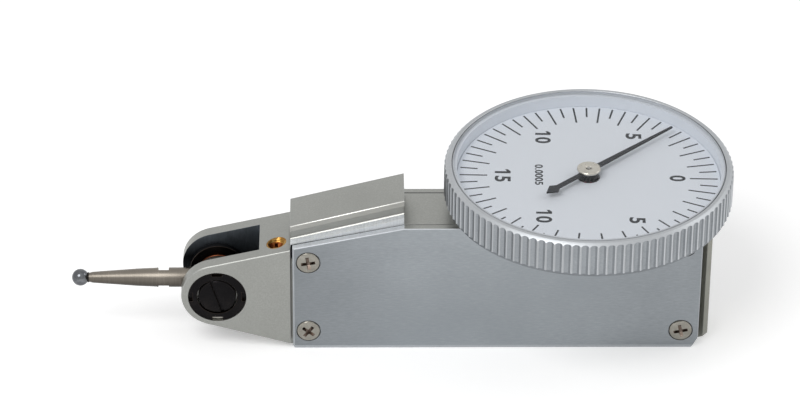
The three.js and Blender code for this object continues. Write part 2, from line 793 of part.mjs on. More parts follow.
function swivelAxleSolid() {
  const socket = barAlongY(pivotTipRadius + fitClearance, earOuter - pivotTipLength - fitClearance,
    earOuter + cutOverrun, -pivotReach, leverHeight, tinyFacets);
  const bar = barAlongY(axleRadius, -earOuter, earOuter, -pivotReach, leverHeight);
  return cut(bar, [socket, socket.mirror([0, 1, 0])]);
}

function addLever() {
  addPiece('measuring_lever', leverSolid(), blackOxide);
  addPiece('swivel_axle', swivelAxleSolid(), steel);
  const washer = ringAlongY(washerRadius, axleRadius + fitClearance, washerInner, washerOuter,
    -pivotReach, leverHeight, mediumFacets);
  addPiece('far_friction_washer', washer, copper);
  addPiece('near_friction_washer', washer.mirror([0, 1, 0]), copper);
  const pinEnd = -sectorSide - sectorThickness / 2 - fitClearance;
  const pin = barAlongY(drivePinRadius, pinEnd, armWidth / 2, -drivePinReach, leverHeight, tinyFacets);
  addPiece('drive_pin', pin, steel);
}

// Swivel hub, with a threaded hole that takes the stylus from the front
function hubSolid() {
  const hub = ringAlongY(hubRadius, axleRadius + fitClearance, -hubSide, hubSide,
    -pivotReach, leverHeight, mediumFacets);
  const holeEnd = pivotReach + hubRadius - stylusThreadDepth - fitClearance;
  const hole = turnedAboutX([
    [0, holeEnd],
    [stylusThreadRadius + fitClearance, holeEnd],
    [stylusThreadRadius + fitClearance, pivotReach + hubRadius + cutOverrun],
    [0, pivotReach + hubRadius + cutOverrun],
  ], smallFacets, leverHeight);
  return hub.subtract(hole);
}

function stylusShaftSolid() {
  const shoulder = pivotReach + hubRadius + fitClearance;
  const ballBack = stylusReach - ballRadius + ballSeatDepth;
  const shaft = turnedAboutX([
    [0, shoulder - stylusThreadDepth],
    [stylusThreadRadius, shoulder - stylusThreadDepth],
    [stylusThreadRadius, shoulder],
    [stylusRadius, shoulder],
    [stylusRadius, taperEndReach],
    [neckRadius, ballBack - neckLength + ballSeatDepth],
    [neckRadius, ballBack],
    [0, ballBack],
  ], mediumFacets, leverHeight);
  const ballRoom = new THREE.SphereGeometry(ballRadius + fitClearance, mediumFacets, smallFacets);
  ballRoom.translate(-stylusReach, 0, leverHeight);
  const flatStart = -taperEndReach + fitClearance;
  const flatHeight = stylusRadius - spannerFlatDepth;
  const upperFlat = boxBetween([flatStart, -stylusRadius, leverHeight + flatHeight],
    [flatStart + spannerFlatLength, stylusRadius, leverHeight + stylusRadius + cutOverrun]);
  const lowerFlat = boxBetween([flatStart, -stylusRadius, leverHeight - stylusRadius - cutOverrun],
    [flatStart + spannerFlatLength, stylusRadius, leverHeight - flatHeight]);
  return cut(shaft, [toSolid(ballRoom), upperFlat, lowerFlat]);
}

function addStylus() {
  addPiece('swivel_hub', hubSolid(), steel);
  addPiece('stylus_shaft', stylusShaftSolid(), steel);
  const ball = new THREE.SphereGeometry(ballRadius, mediumFacets, smallFacets);
  ball.translate(-stylusReach, 0, leverHeight);
  addPiece('stylus_ball', toSolid(ball), polishedBall);
}

// Sector gear with eight teeth towards the crown pinion and a forked tail on the drive pin
function sectorSolid() {
  const pitchAngle = 2 * Math.PI / sectorFullTeeth;
  const sweep = sectorTeeth * pitchAngle / 2;
  const angles = Array.from({ length: sectorTeeth }, (unused, index) => (
    (2 * index + 1) * sweep / sectorTeeth - sweep
  ));
  const rootRadius = sectorRadius - dedendumShare * sectorModule;
  const rimInner = rootRadius - sectorRimDepth;
  const rim = [
    ...arcPoints(0, 0, rimInner, sweep, -sweep, tinyFacets),
    ...toothPoints(sectorRadius, sectorModule, pitchAngle, angles),
  ];
  const low = -sectorSide - sectorThickness / 2;
  const high = -sectorSide + sectorThickness / 2;
  const rimSolid = prismAlongY(shifted(rim, -sectorReach, leverHeight), low, high);
  const halfArm = sectorArmWidth / 2;
  const arm = boxBetween([-sectorReach, low, leverHeight - halfArm],
    [-sectorReach + rimInner + sectorRimDepth / 2, high, leverHeight + halfArm]);
  const tailEnd = -drivePinReach - tailOverhang;
  const tail = boxBetween([tailEnd, low, leverHeight - tailWidth / 2],
    [-sectorReach, high, leverHeight + tailWidth / 2]);
  const hub = barAlongY(sectorHubRadius, low, high, -sectorReach, leverHeight);
  const slotHalf = drivePinRadius + drivePinClearance;
  const slot = boxBetween([tailEnd - cutOverrun, low - cutOverrun, leverHeight - slotHalf],
    [-drivePinReach + tailOverhang, high + cutOverrun, leverHeight + slotHalf]);
  const bore = barAlongY(arborRadius + fitClearance, low - cutOverrun, high + cutOverrun,
    -sectorReach, leverHeight);
  return cut(join([rimSolid, arm, tail, hub]), [slot, bore]);
}

// Arbor along Y, with a thin pivot at each end that runs in a jewel
function arborSolid(reach) {
  const end = movementPlateInner - fitClearance;
  const body = barAlongY(arborRadius, -end, end, -reach, leverHeight);
  const pivotEnd = movementPlateInner + arborPivotLength;
  const pivots = barAlongY(arborPivotRadius, -pivotEnd, pivotEnd, -reach, leverHeight, tinyFacets);
  return body.add(pivots);
}

function crownArborSolid() {
  const low = -sectorSide - crownPinionWidth / 2;
  const points = shifted(wheelPoints(crownPinionTeeth, sectorModule, 0), 0, leverHeight);
  return arborSolid(0).add(prismAlongY(points, low, low + crownPinionWidth));
}

// Crown wheel: a spoked disc with teeth that point along its axis, towards the centre pinion
function crownWheelSolid() {
  const toothInner = crownRadius - crownToothLength / 2;
  const pitchAngle = 2 * Math.PI / crownTeeth;
  const corners = [
    [toothInner, -toothTipShare], [crownRimRadius, -toothTipShare],
    [crownRimRadius, toothTipShare], [toothInner, toothTipShare],
  ];
  const toothBase = crownDiscInner + crownDiscThickness / 2;
  const teeth = Array.from({ length: crownTeeth }, (unused, index) => {
    const outline = corners.map(([radius, share]) => {
      const angle = Math.PI / 2 + (index + share) * pitchAngle;
      return [radius * Math.cos(angle), radius * Math.sin(angle) + leverHeight];
    });
    return prismAlongY(outline, crownToothTip, toothBase);
  });
  const discRadius = crownRimRadius + fitClearance;
  const disc = barAlongY(discRadius, crownDiscInner, crownDiscOuter, 0, leverHeight, crownTeeth);
  const bore = barAlongY(arborRadius + fitClearance, 0, plateSide, 0, leverHeight);
  const windowRing = (toothInner + arborRadius) / 2;
  const windowRadius = (toothInner - arborRadius) / 2 - crownWindowMargin;
  const windows = Array.from({ length: crownWindowCount }, (unused, index) => {
    const turn = (2 * index + 1) * Math.PI / crownWindowCount;
    return barAlongY(windowRadius, 0, plateSide, windowRing * Math.cos(turn),
      leverHeight + windowRing * Math.sin(turn), tinyFacets);
  });
  return cut(join([disc, ...teeth]), [bore, ...windows]);
}

// Centre arbor with its pinion. A gap between two teeth faces the crown wheel's uppermost tooth.
function centreArborSolid() {
  const pivotBottom = endStoneTop + fitClearance;
  const arborStart = centrePivotHeight + fitClearance;
  const thinStart = flangeTop - jewelThickness - fitClearance;
  const body = barAlongZ(centreArborRadius, arborStart, thinStart, 0, 0);
  const thin = barAlongZ(arborPivotRadius, pivotBottom, arborTop, 0, 0, tinyFacets);
  const gapAngle = Math.PI / 2 + Math.PI / centrePinionTeeth;
  const pinionBottom = crownMeshHeight - centrePinionWidth / 2;
  const pinion = prismAlongZ(wheelPoints(centrePinionTeeth, crownModule, gapAngle),
    pinionBottom, pinionBottom + centrePinionWidth);
  return join([body, thin, pinion]);
}

function addGearTrain() {
  addPiece('sector_gear', sectorSolid(), brass);
  addPiece('sector_arbor', arborSolid(sectorReach), steel);
  addPiece('crown_wheel', crownWheelSolid(), brass);
  addPiece('crown_arbor', crownArborSolid(), steel);
  addPiece('centre_arbor', centreArborSolid(), steel);
}

// Movement plate with two jewel seats, made for the far side
function movementPlateSolid() {
  const low = [-movementPlateFront, movementPlateInner, movementPlateBottom + movementPlateClearance];
  const plate = boxBetween(low, [movementPlateRear, movementPlateOuter, movementPlateTop]);
  const headSeat = movementPlateOuter - movementHeadThickness;
  const seats = movementScrewPlaces.map(([x, z]) => barAlongY(movementHeadRadius + holeClearance,
    headSeat, plateSide, x, z));
  const holes = movementScrewPlaces.map(([x, z]) => barAlongY(movementShankRadius + holeClearance,
    0, plateSide, x, z, tinyFacets));
  const jewelSeats = [sectorReach, 0].map((reach) => barAlongY(jewelRadius + fitClearance,
    movementPlateOuter - jewelThickness, plateSide, -reach, leverHeight));
  const pivotHoles = [sectorReach, 0].map((reach) => barAlongY(arborPivotRadius + fitClearance,
    0, plateSide, -reach, leverHeight, tinyFacets));
  return cut(plate, [...seats, ...holes, ...jewelSeats, ...pivotHoles]);
}

function movementScrewSolid([x, z]) {
  const headBottom = movementPlateOuter - movementHeadThickness;
  const shankEnd = movementPlateInner - movementShankLength + fitClearance;
  const head = barAlongY(movementHeadRadius, headBottom, movementPlateOuter, x, z);
  const shank = barAlongY(movementShankRadius, shankEnd, movementPlateOuter, x, z, tinyFacets);
  const halfWidth = adjusterSlotWidth / 2;
  const slotFloor = movementPlateOuter - movementHeadThickness / 2;
  const slot = boxBetween([x - 2 * movementHeadRadius, slotFloor, z - halfWidth],
    [x + 2 * movementHeadRadius, plateSide, z + halfWidth]);
  return head.add(shank).subtract(slot);
}

function sideJewelSolid(reach) {
  const low = movementPlateOuter - jewelThickness;
  return ringAlongY(jewelRadius, jewelBoreRadius, low, movementPlateOuter,
    -reach, leverHeight, smallFacets);
}

function addMovementPlates() {
  const farPlate = movementPlateSolid();
  addPiece('far_movement_plate', farPlate, brass);
  addPiece('near_movement_plate', farPlate.mirror([0, 1, 0]), brass);
  movementScrewPlaces.forEach((place, index) => {
    const screw = movementScrewSolid(place);
    addPiece(`far_movement_screw_${index + 1}`, screw, steel);
    addPiece(`near_movement_screw_${index + 1}`, screw.mirror([0, 1, 0]), steel);
  });
  [['sector', sectorReach], ['crown', 0]].forEach(([name, reach]) => {
    const jewel = sideJewelSolid(reach);
    addPiece(`far_${name}_jewel`, jewel, ruby);
    addPiece(`near_${name}_jewel`, jewel.mirror([0, 1, 0]), ruby);
  });
}

// Centre cock: a hook under the room's roof that carries the centre arbor's lower jewel and end stone
function cockSolid() {
  const half = cockWidth / 2;
  const bottom = centrePivotHeight - cockThickness;
  const shelf = boxBetween([-cockNose, -half, bottom], [cockLegFar, half, centrePivotHeight]);
  const leg = boxBetween([cockLegNear, -half, bottom], [cockLegFar, half, cavityRoof]);
  const foot = boxBetween([cockLegNear, -half, cavityRoof - cockFootHeight],
    [cavityRear - cockFootGap, half, cavityRoof]);
  const jewelSeat = barAlongZ(cockJewelRadius + fitClearance, bottom - cutOverrun,
    centrePivotHeight + cutOverrun, 0, 0);
  const screwHole = barAlongZ(cockScrewRadius + holeClearance, cavityRoof - cockFootHeight - cutOverrun,
    cavityRoof + cutOverrun, cockScrewPlace, 0);
  return cut(join([shelf, leg, foot]), [jewelSeat, screwHole]);
}

function cockScrewSolid() {
  const headTop = cavityRoof - cockFootHeight;
  const headBottom = headTop - cockScrewHeadThickness;
  const head = barAlongZ(cockScrewHeadRadius, headBottom, headTop, cockScrewPlace, 0);
  const shank = barAlongZ(cockScrewRadius, headTop - fitClearance, headTop + cockScrewLength,
    cockScrewPlace, 0, tinyFacets);
  return head.add(shank);
}

function jewelAlongZ(radius, bottom) {
  const top = bottom + jewelThickness;
  const bore = barAlongZ(jewelBoreRadius, bottom - cutOverrun, top + cutOverrun, 0, 0, tinyFacets);
  return barAlongZ(radius, bottom, top, 0, 0).subtract(bore);
}

function addCentreBearings() {
  addPiece('centre_cock', cockSolid(), brass);
  addPiece('cock_screw', cockScrewSolid(), steel);
  addPiece('lower_centre_jewel', jewelAlongZ(cockJewelRadius, endStoneTop), ruby);
  const endStone = barAlongZ(cockJewelRadius, endStoneTop - endStoneThickness, endStoneTop, 0, 0);
  addPiece('end_stone', endStone, ruby);
  addPiece('upper_centre_jewel', jewelAlongZ(jewelRadius, flangeTop - jewelThickness), ruby);
}

// Dial base: a long neck on the case and a round flange that the bezel turns on
function dialBaseSolid() {
  const endRadius = neckWidth / 2;
  const endCentre = neckHalfLength - endRadius;
  const neckOutline = [
    ...arcPoints(endCentre, 0, endRadius, -Math.PI / 2, Math.PI / 2, tinyFacets),
    ...arcPoints(-endCentre, 0, endRadius, Math.PI / 2, 3 * Math.PI / 2, tinyFacets),
  ];
  const neck = prismAlongZ(neckOutline, caseHeight, flangeBottom + fitClearance);
  const grooveDepth = ringWireRadius + ringWirePlay - bezelRunningGap / 2;
  const grooveHalf = ringWireRadius + ringWirePlay;
  const flange = turnedAboutZ([
    [0, flangeBottom],
    [flangeRadius, flangeBottom],
    [flangeRadius, springMiddle - grooveHalf],
    [flangeRadius - grooveDepth, springMiddle - grooveHalf],
    [flangeRadius - grooveDepth, springMiddle + grooveHalf],
    [flangeRadius, springMiddle + grooveHalf],
    [flangeRadius, flangeTop],
    [0, flangeTop],
  ], wheelFacets);
  const top = flangeTop + cutOverrun;
  const springRoom = barAlongZ(springRoomRadius, caseHeight - cutOverrun, caseHeight + springRoomDepth,
    0, 0, mediumFacets);
  const arborHole = barAlongZ(centreArborRadius + holeClearance, caseHeight, top, 0, 0);
  const jewelSeat = barAlongZ(jewelRadius + fitClearance, flangeTop - jewelThickness, top, 0, 0);
  const headSeat = flangeTop - baseScrewHeadThickness;
  const screwCuts = [-baseScrewPlace, baseScrewPlace].flatMap((x) => [
    barAlongZ(baseScrewRadius + holeClearance, caseHeight - cutOverrun, flangeTop, x, 0),
    barAlongZ(baseScrewHeadRadius + holeClearance, headSeat, top, x, 0, mediumFacets),
  ]);
  return cut(neck.add(flange), [springRoom, arborHole, jewelSeat, ...screwCuts]);
}

function baseScrewSolid(side) {
  const x = side * baseScrewPlace;
  const headBottom = flangeTop - baseScrewHeadThickness;
  const head = barAlongZ(baseScrewHeadRadius, headBottom, flangeTop, x, 0, mediumFacets);
  const shank = barAlongZ(baseScrewRadius, caseHeight - baseScrewGrip, flangeTop, x, 0);
  const halfWidth = adjusterSlotWidth / 2;
  const slotFloor = flangeTop - baseScrewHeadThickness / 2;
  const slot = boxBetween([x - 2 * baseScrewHeadRadius, -halfWidth, slotFloor],
    [x + 2 * baseScrewHeadRadius, halfWidth, flangeTop + cutOverrun]);
  return head.add(shank).subtract(slot);
}

// Split wire ring that holds the bezel down and gives it a firm turn
function frictionSpringSolid() {
  const section = arcPoints(springRadius, springMiddle, ringWireRadius, 0, 2 * Math.PI, wireFacets);
  const full = turnedAboutZ(section, wheelFacets);
  const halfGap = springRadius * Math.tan(ringWireGap / 2);
  const gap = boxBetween([-2 * springRadius, -halfGap, flangeBottom], [0, halfGap, flangeTop]);
  return full.subtract(gap);
}

function addDialBase() {
  addPiece('dial_base', dialBaseSolid(), satinChrome);
  addPiece('dial_base_screw_1', baseScrewSolid(-1), steel);
  addPiece('dial_base_screw_2', baseScrewSolid(1), steel);
  addPiece('bezel_friction_spring', frictionSpringSolid(), steel);
}

// Bezel: a turned ring with a coin edge, bored in steps for the flange, the dial and the crystal
function bezelSolid() {
  const lowerBore = flangeRadius + bezelRunningGap;
  const lipRadius = dialRadius - bezelLipDepth;
  const dialBore = dialRadius + fitClearance;
  const crystalBore = crystalRadius + fitClearance;
  const bottom = flangeBottom - bezelSkirt;
  const rimTop = crystalBottom + bezelRimRise;
  const ringRadius = bezelRadius - fluteDepth - fitClearance;
  const grooveHalf = ringWireRadius + ringWirePlay;
  const grooveRadius = springRadius + grooveHalf;
  const ring = turnedAboutZ([
    [lowerBore, bottom],
    [ringRadius, bottom],
    [ringRadius, rimTop],
    [crystalBore, rimTop],
    [crystalBore, crystalBottom],
    [dialBore, crystalBottom],
    [dialBore, dialBottom],
    [lipRadius, dialBottom],
    [lipRadius, flangeTop + bezelLipGap],
    [lowerBore, flangeTop + bezelLipGap],
    [lowerBore, springMiddle + grooveHalf],
    [grooveRadius, springMiddle + grooveHalf],
    [grooveRadius, springMiddle - grooveHalf],
    [lowerBore, springMiddle - grooveHalf],
    [lowerBore, bottom],
  ], wheelFacets);
  const edge = Array.from({ length: 2 * fluteCount }, (unused, index) => {
    const radius = index % 2 === 0 ? bezelRadius : bezelRadius - fluteDepth;
    const angle = index * Math.PI / fluteCount;
    return [radius * Math.cos(angle), radius * Math.sin(angle)];
  });
  const flutedBottom = bottom + bezelBottomChamfer;
  const flutedTop = rimTop - bezelTopChamfer;
  const room = barAlongZ(ringRadius - fluteDepth, flutedBottom - cutOverrun, rimTop, 0, 0, wheelFacets);
  return ring.add(prismAlongZ(edge, flutedBottom, flutedTop).subtract(room));
}

function addBezel() {
  addPiece('bezel', bezelSolid(), bezelChrome);
  const dialHole = barAlongZ(dialHoleRadius, dialBottom - cutOverrun, dialFace + cutOverrun, 0, 0);
  const dial = barAlongZ(dialRadius, dialBottom, dialFace, 0, 0, wheelFacets).subtract(dialHole);
  addPiece('dial', dial, dialWhite);
  const crystalTop = crystalBottom + crystalThickness;
  const crystal = barAlongZ(crystalRadius, crystalBottom, crystalTop, 0, 0, wheelFacets);
  addPiece('crystal', crystal, clearCrystal);
}

// Hand: a tapered pointer, an eye on the arbor and an arrow-shaped counterweight
function handSolid() {
  const pointer = [
    [0, -handRootWidth / 2],
    [handReach, -handTipWidth / 2],
    [handReach, handTipWidth / 2],
    [0, handRootWidth / 2],
  ];
  const tail = [
    [0, tailStemWidth / 2],
    [-tailHeadStart, tailStemWidth / 2],
    [-tailBarbReach, tailHeadWidth / 2],
    [-handTailReach, 0],
    [-tailBarbReach, -tailHeadWidth / 2],
    [-tailHeadStart, -tailStemWidth / 2],
    [0, -tailStemWidth / 2],
  ];
  const top = handBottom + handThickness;
  const eye = barAlongZ(handEyeRadius, handBottom, top, 0, 0);
  const bore = barAlongZ(arborPivotRadius + fitClearance, dialFace, crystalBottom, 0, 0, tinyFacets);
  const flat = join([prismAlongZ(pointer, handBottom, top), prismAlongZ(tail, handBottom, top), eye]);
  return flat.subtract(bore).rotate([0, 0, THREE.MathUtils.radToDeg(handAngle)]);
}

// A disc on the centre arbor's thin end
function arborDisc(radius, low, high) {
  const boreRadius = arborPivotRadius + fitClearance;
  const bore = barAlongZ(boreRadius, low - cutOverrun, high + cutOverrun, 0, 0, tinyFacets);
  return barAlongZ(radius, low, high, 0, 0, mediumFacets).subtract(bore);
}

// Spiral return spring: a flat strip from the collet out to its stud, seen from above
function hairspringSolid() {
  const steps = Math.round(hairspringTurns * smallFacets);
  const spiral = (offset) => Array.from({ length: steps + 1 }, (unused, step) => {
    const angle = 2 * Math.PI * hairspringTurns * step / steps;
    const radius = hairspringInner + (hairspringOuter - hairspringInner) * step / steps + offset;
    return [radius * Math.cos(angle), radius * Math.sin(angle)];
  });
  const outer = spiral(hairspringStrip / 2);
  const inner = spiral(-hairspringStrip / 2);
  const low = hairspringMiddle - hairspringHeight / 2;
  return prismAlongZ([...outer, ...inner.reverse()], low, low + hairspringHeight);
}

function studSolid() {
  const endAngle = 2 * Math.PI * hairspringTurns;
  const x = hairspringOuter * Math.cos(endAngle);
  const start = -studGap - studLength;
  const bottom = hairspringMiddle - hairspringHeight / 2;
  return boxBetween([x - studWidth / 4, start, bottom],
    [x + studWidth / 2, start + studLength, caseHeight + springRoomDepth]);
}

function addCentreParts() {
  addPiece('hand', handSolid(), handGrey);
  addPiece('hand_hub', arborDisc(handHubRadius, handBottom + handThickness, arborTop), nickel);
  const collarBottom = handBottom - handCollarHeight;
  addPiece('hand_collar', arborDisc(handCollarRadius, collarBottom, handBottom), blackOxide);
  const low = hairspringMiddle - colletHeight / 2;
  const high = low + colletHeight;
  const bore = barAlongZ(centreArborRadius + fitClearance, low - cutOverrun, high + cutOverrun, 0, 0);
  addPiece('hairspring_collet', barAlongZ(colletRadius, low, high, 0, 0).subtract(bore), brass);
  addPiece('hairspring', hairspringSolid(), blueSteel);
  addPiece('hairspring_stud', studSolid(), brass);
}

function adjusterSolid() {
  const screw = barAlongZ(adjusterRadius, adjusterBottom, adjusterTop, -adjusterReach, -adjusterSide);
  const halfWidth = adjusterSlotWidth / 2;
  const slotFloor = adjusterTop - adjusterSlotDepth;
  const slotHalf = 2 * adjusterRadius;
  const slot = boxBetween([-adjusterReach - slotHalf, -adjusterSide - halfWidth, slotFloor],
    [-adjusterReach + slotHalf, -adjusterSide + halfWidth, adjusterTop + cutOverrun]);
  return screw.subtract(slot);
}

function addFrame() {
  addPiece('frame', frameSolid(), satinChrome);
  addPiece('adjusting_screw', adjusterSolid(), brass);
  const ring = lockRingSolid();
  addPiece('far_lock_ring', ring, blackOxide);
  addPiece('near_lock_ring', ring.mirror([0, 1, 0]), blackOxide);
  const pivot = pivotScrewSolid();
  addPiece('far_pivot_screw', pivot, blackOxide);
  addPiece('near_pivot_screw', pivot.mirror([0, 1, 0]), blackOxide);
}

addFrame();
addCovers();
addMovementPlates();
addCentreBearings();
addLever();
addStylus();
addGearTrain();
addDialBase();
addBezel();
addCentreParts();

export default indicator;
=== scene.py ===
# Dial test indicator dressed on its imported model. The sections follow the tool as it is put together,
# and each one holds a piece's sizes, shape, finish and place. Pieces are drawn in millimetres and are
# brought to metres when they are settled on their body.
import math

import bpy
from mathutils import Matrix, Vector


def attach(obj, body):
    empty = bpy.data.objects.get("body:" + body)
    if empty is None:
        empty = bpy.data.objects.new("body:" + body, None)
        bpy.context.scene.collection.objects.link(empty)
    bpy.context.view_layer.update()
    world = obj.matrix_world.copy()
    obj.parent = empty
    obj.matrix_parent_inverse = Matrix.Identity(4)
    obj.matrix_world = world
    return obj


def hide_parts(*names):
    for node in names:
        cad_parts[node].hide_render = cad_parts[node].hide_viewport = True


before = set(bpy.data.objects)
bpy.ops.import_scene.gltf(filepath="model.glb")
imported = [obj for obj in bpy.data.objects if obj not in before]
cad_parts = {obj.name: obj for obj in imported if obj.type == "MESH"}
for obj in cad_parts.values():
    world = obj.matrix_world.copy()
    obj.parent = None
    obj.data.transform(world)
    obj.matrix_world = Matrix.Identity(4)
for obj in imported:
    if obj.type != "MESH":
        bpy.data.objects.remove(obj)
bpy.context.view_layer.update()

# The camera looks square at the near side, a little over a third of a right angle above it, through
# a long lens, as the photograph was taken.
camera_data = bpy.data.cameras.new("camera")
camera_data.lens = 182.64
camera_data.sensor_width = 36
camera_data.clip_start = 0.01
camera_data.clip_end = 20
camera = bpy.data.objects.new("camera", camera_data)
bpy.context.scene.collection.objects.link(camera)
camera_place = (-0.02842, -0.39288, 0.27857)
ahead = Vector((0.014, 0.8325, -0.5539)).normalized()
right = ahead.cross(Vector((0.0014, 0.5539, 0.8326))).normalized()
above = right.cross(ahead)
turned_as_seen = Matrix((right, above, -ahead)).transposed().to_4x4()
camera.matrix_world = Matrix.Translation(camera_place) @ turned_as_seen
bpy.context.scene.camera = camera


# A pale table and a plain pale room. Metal and glass mirror the room as the camera sees it. Two soft
# lamps stand high over the table, a strong one before the stylus and a weak one past the rear end.
def wire(tree, kind, settings=None, **inputs):
    """A node with its settings made and its inputs filled or linked, by name or as i0, i1 and so on."""
    node = tree.nodes.new(kind)
    for key, value in (settings or {}).items():
        setattr(node, key, value)
    for key, value in inputs.items():
        numbered = key[0] == "i" and key[1:].isdigit()
        socket = node.inputs[int(key[1:]) if numbered else key.replace("_", " ")]
        if isinstance(value, bpy.types.NodeSocket):
            tree.links.new(value, socket)
        else:
            socket.default_value = value
    return node


def reckon(tree, operation, *values, clamp=False):
    """What a Math node makes of its values."""
    places = {f"i{place}": value for place, value in enumerate(values)}
    settings = {"operation": operation, "use_clamp": clamp}
    return wire(tree, "ShaderNodeMath", settings, **places).outputs[0]


def spread_out(tree, value, **ends):
    """A value brought from one range to another."""
    return wire(tree, "ShaderNodeMapRange", Value=value, **ends).outputs["Result"]


def place_on(tree):
    """The place of a point, in metres from the tool's origin."""
    return wire(tree, "ShaderNodeTexCoord").outputs["Object"]


def noise(tree, place, **settings):
    """A soft random pattern between 0 and 1."""
    return wire(tree, "ShaderNodeTexNoise", Vector=place, **settings).outputs["Fac"]


def looked_at(tree):
    """1 where the camera, a mirror or glass looks at a surface, and 0 where it only lights others."""
    path = wire(tree, "ShaderNodeLightPath").outputs
    bounced = reckon(tree, "MAXIMUM", path["Is Glossy Ray"], path["Is Transmission Ray"])
    return reckon(tree, "MAXIMUM", path["Is Camera Ray"], bounced)


world = bpy.data.worlds.new("room")
bpy.context.scene.world = world
world.use_nodes = True
room = world.node_tree
background = room.nodes["Background"].inputs
background["Color"].default_value = (1, 1, 1, 1)
room.links.new(spread_out(room, looked_at(room), To_Min=0.5, To_Max=1.0), background["Strength"])

for name, place, aim, size, power in (
    ("overhead_lamp", (-0.21, -0.26, 0.44), (-0.02, 0, 0.01), 0.30, 1.08),
    ("side_lamp", (0.42, 0.10, 0.34), (0, 0, 0.01), 0.22, 0.25),
):
    lamp_data = bpy.data.lights.new(name, "AREA")
    lamp_data.shape = "DISK"
    lamp_data.size = size
    lamp_data.energy = power
    lamp = bpy.data.objects.new(name, lamp_data)
    bpy.context.scene.collection.objects.link(lamp)
    lamp.location = place
    lamp.rotation_euler = (Vector(aim) - Vector(place)).to_track_quat("-Z", "Y").to_euler()

bpy.ops.object.select_all(action="DESELECT")
bpy.ops.mesh.primitive_plane_add(size=6, location=(0, 0, -0.00002))
table = bpy.context.object
table.name = "table"
pale_table = bpy.data.materials.new("pale_table")
pale_table.use_nodes = True
tree = pale_table.node_tree
shader = tree.nodes["Principled BSDF"].inputs
shader["Roughness"].default_value = 0.9
shader["Specular IOR Level"].default_value = 0.1
shader["Emission Color"].default_value = (1, 1, 1, 1)
mottle = spread_out(tree, noise(tree, place_on(tree), Scale=40.0), To_Min=0.985, To_Max=1.0)
tree.links.new(mottle, shader["Base Color"])
# The glow that the eye sees grows with the distance, so that a low view meets no grey horizon.
afar = wire(tree, "ShaderNodeVectorMath", {"operation": "LENGTH"}, i0=place_on(tree))
glow = spread_out(tree, afar.outputs["Value"], From_Min=0.1, From_Max=0.5, To_Min=0.32, To_Max=0.6)
tree.links.new(spread_out(tree, looked_at(tree), To_Max=glow), shader["Emission Strength"])
table.data.materials.append(pale_table)


# Case body, one block of steel with a satin chrome skin: the narrow core between the cover plates,
# the forked nose that carries the lever, the sloping dovetail on top and the upright one at the rear.
def hold(*pieces):
    """Selects these pieces and nothing else, and makes the first one active."""
    bpy.ops.object.select_all(action="DESELECT")
    for piece in pieces:
        piece.select_set(True)
    bpy.context.view_layer.objects.active = pieces[0]


def joined(name, pieces):
    """Several meshes made one piece."""
    hold(*pieces)
    bpy.ops.object.join()
    pieces[0].name = name
    return pieces[0]


def outline(name, corners, fill):
    """A flat loop of corners, left in edit mode with all of it selected."""
    bpy.ops.object.select_all(action="DESELECT")
    bpy.ops.mesh.primitive_circle_add(vertices=len(corners), fill_type=fill)
    piece = bpy.context.object
    piece.name = name
    for corner, place in zip(piece.data.vertices, corners):
        corner.co = place
    bpy.ops.object.mode_set(mode="EDIT")
    bpy.ops.mesh.select_all(action="SELECT")
    return piece


def faced_outwards(piece):
    """Turns every face outwards and leaves edit mode."""
    bpy.ops.mesh.select_all(action="SELECT")
    bpy.ops.mesh.normals_make_consistent(inside=False)
    bpy.ops.object.mode_set(mode="OBJECT")
    return piece


def prism(name, corners, axis, low, high):
    """A flat outline drawn out along one axis. The corners are the other two coordinates in order."""
    spot = "XYZ".index(axis)
    piece = outline(name, [pair[:spot] + (low,) + pair[spot:] for pair in corners], "NGON")
    draw = [high - low if axis == letter else 0 for letter in "XYZ"]
    bpy.ops.mesh.extrude_region_move(TRANSFORM_OT_translate={"value": draw})
    return faced_outwards(piece)


def block(name, low, high):
    """A squared block between two corners."""
    (left, near, foot), (right, far, head) = low, high
    return prism(name, [(left, near), (right, near), (right, far), (left, far)], "Z", foot, head)


def bar(name, radius, low, high, axis, at, facets=96):
    """A round bar along one axis, at a place in the other two coordinates."""
    turns = [2 * math.pi * facet / facets for facet in range(facets)]
    ring = [(at[0] + radius * math.cos(turn), at[1] + radius * math.sin(turn)) for turn in turns]
    return prism(name, ring, axis, low, high)


def machine(piece, tool, operation="DIFFERENCE"):
    """Cuts away or joins on what the tool fills, and clears the tool away."""
    hold(piece)
    step = piece.modifiers.new("machine", "BOOLEAN")
    step.operation = operation
    step.solver = "EXACT"
    step.object = tool
    bpy.ops.object.modifier_apply(modifier=step.name)
    bpy.data.objects.remove(tool)


def chamfer(piece, width, chosen):
    """Breaks the edges that the rule picks by their two ends."""
    hold(piece)
    bpy.ops.object.mode_set(mode="EDIT")
    bpy.ops.mesh.select_mode(type="EDGE")
    bpy.ops.mesh.select_all(action="DESELECT")
    bpy.ops.object.mode_set(mode="OBJECT")
    corners = piece.data.vertices
    for edge in piece.data.edges:
        start, end = edge.vertices
        edge.select = chosen(corners[start].co, corners[end].co)
    bpy.ops.object.mode_set(mode="EDIT")
    bpy.ops.mesh.bevel(offset=width, segments=1, affect="EDGES", clamp_overlap=True)
    bpy.ops.object.mode_set(mode="OBJECT")


def dress(piece, finishes):
    """Gives a piece its finishes. Every face starts with the first."""
    for finish in finishes:
        piece.data.materials.append(finish)


def smooth(piece, degrees):
    """Shades a piece smooth across every edge that turns by less than this."""
    hold(piece)
    bpy.ops.object.shade_smooth_by_angle(angle=math.radians(degrees))


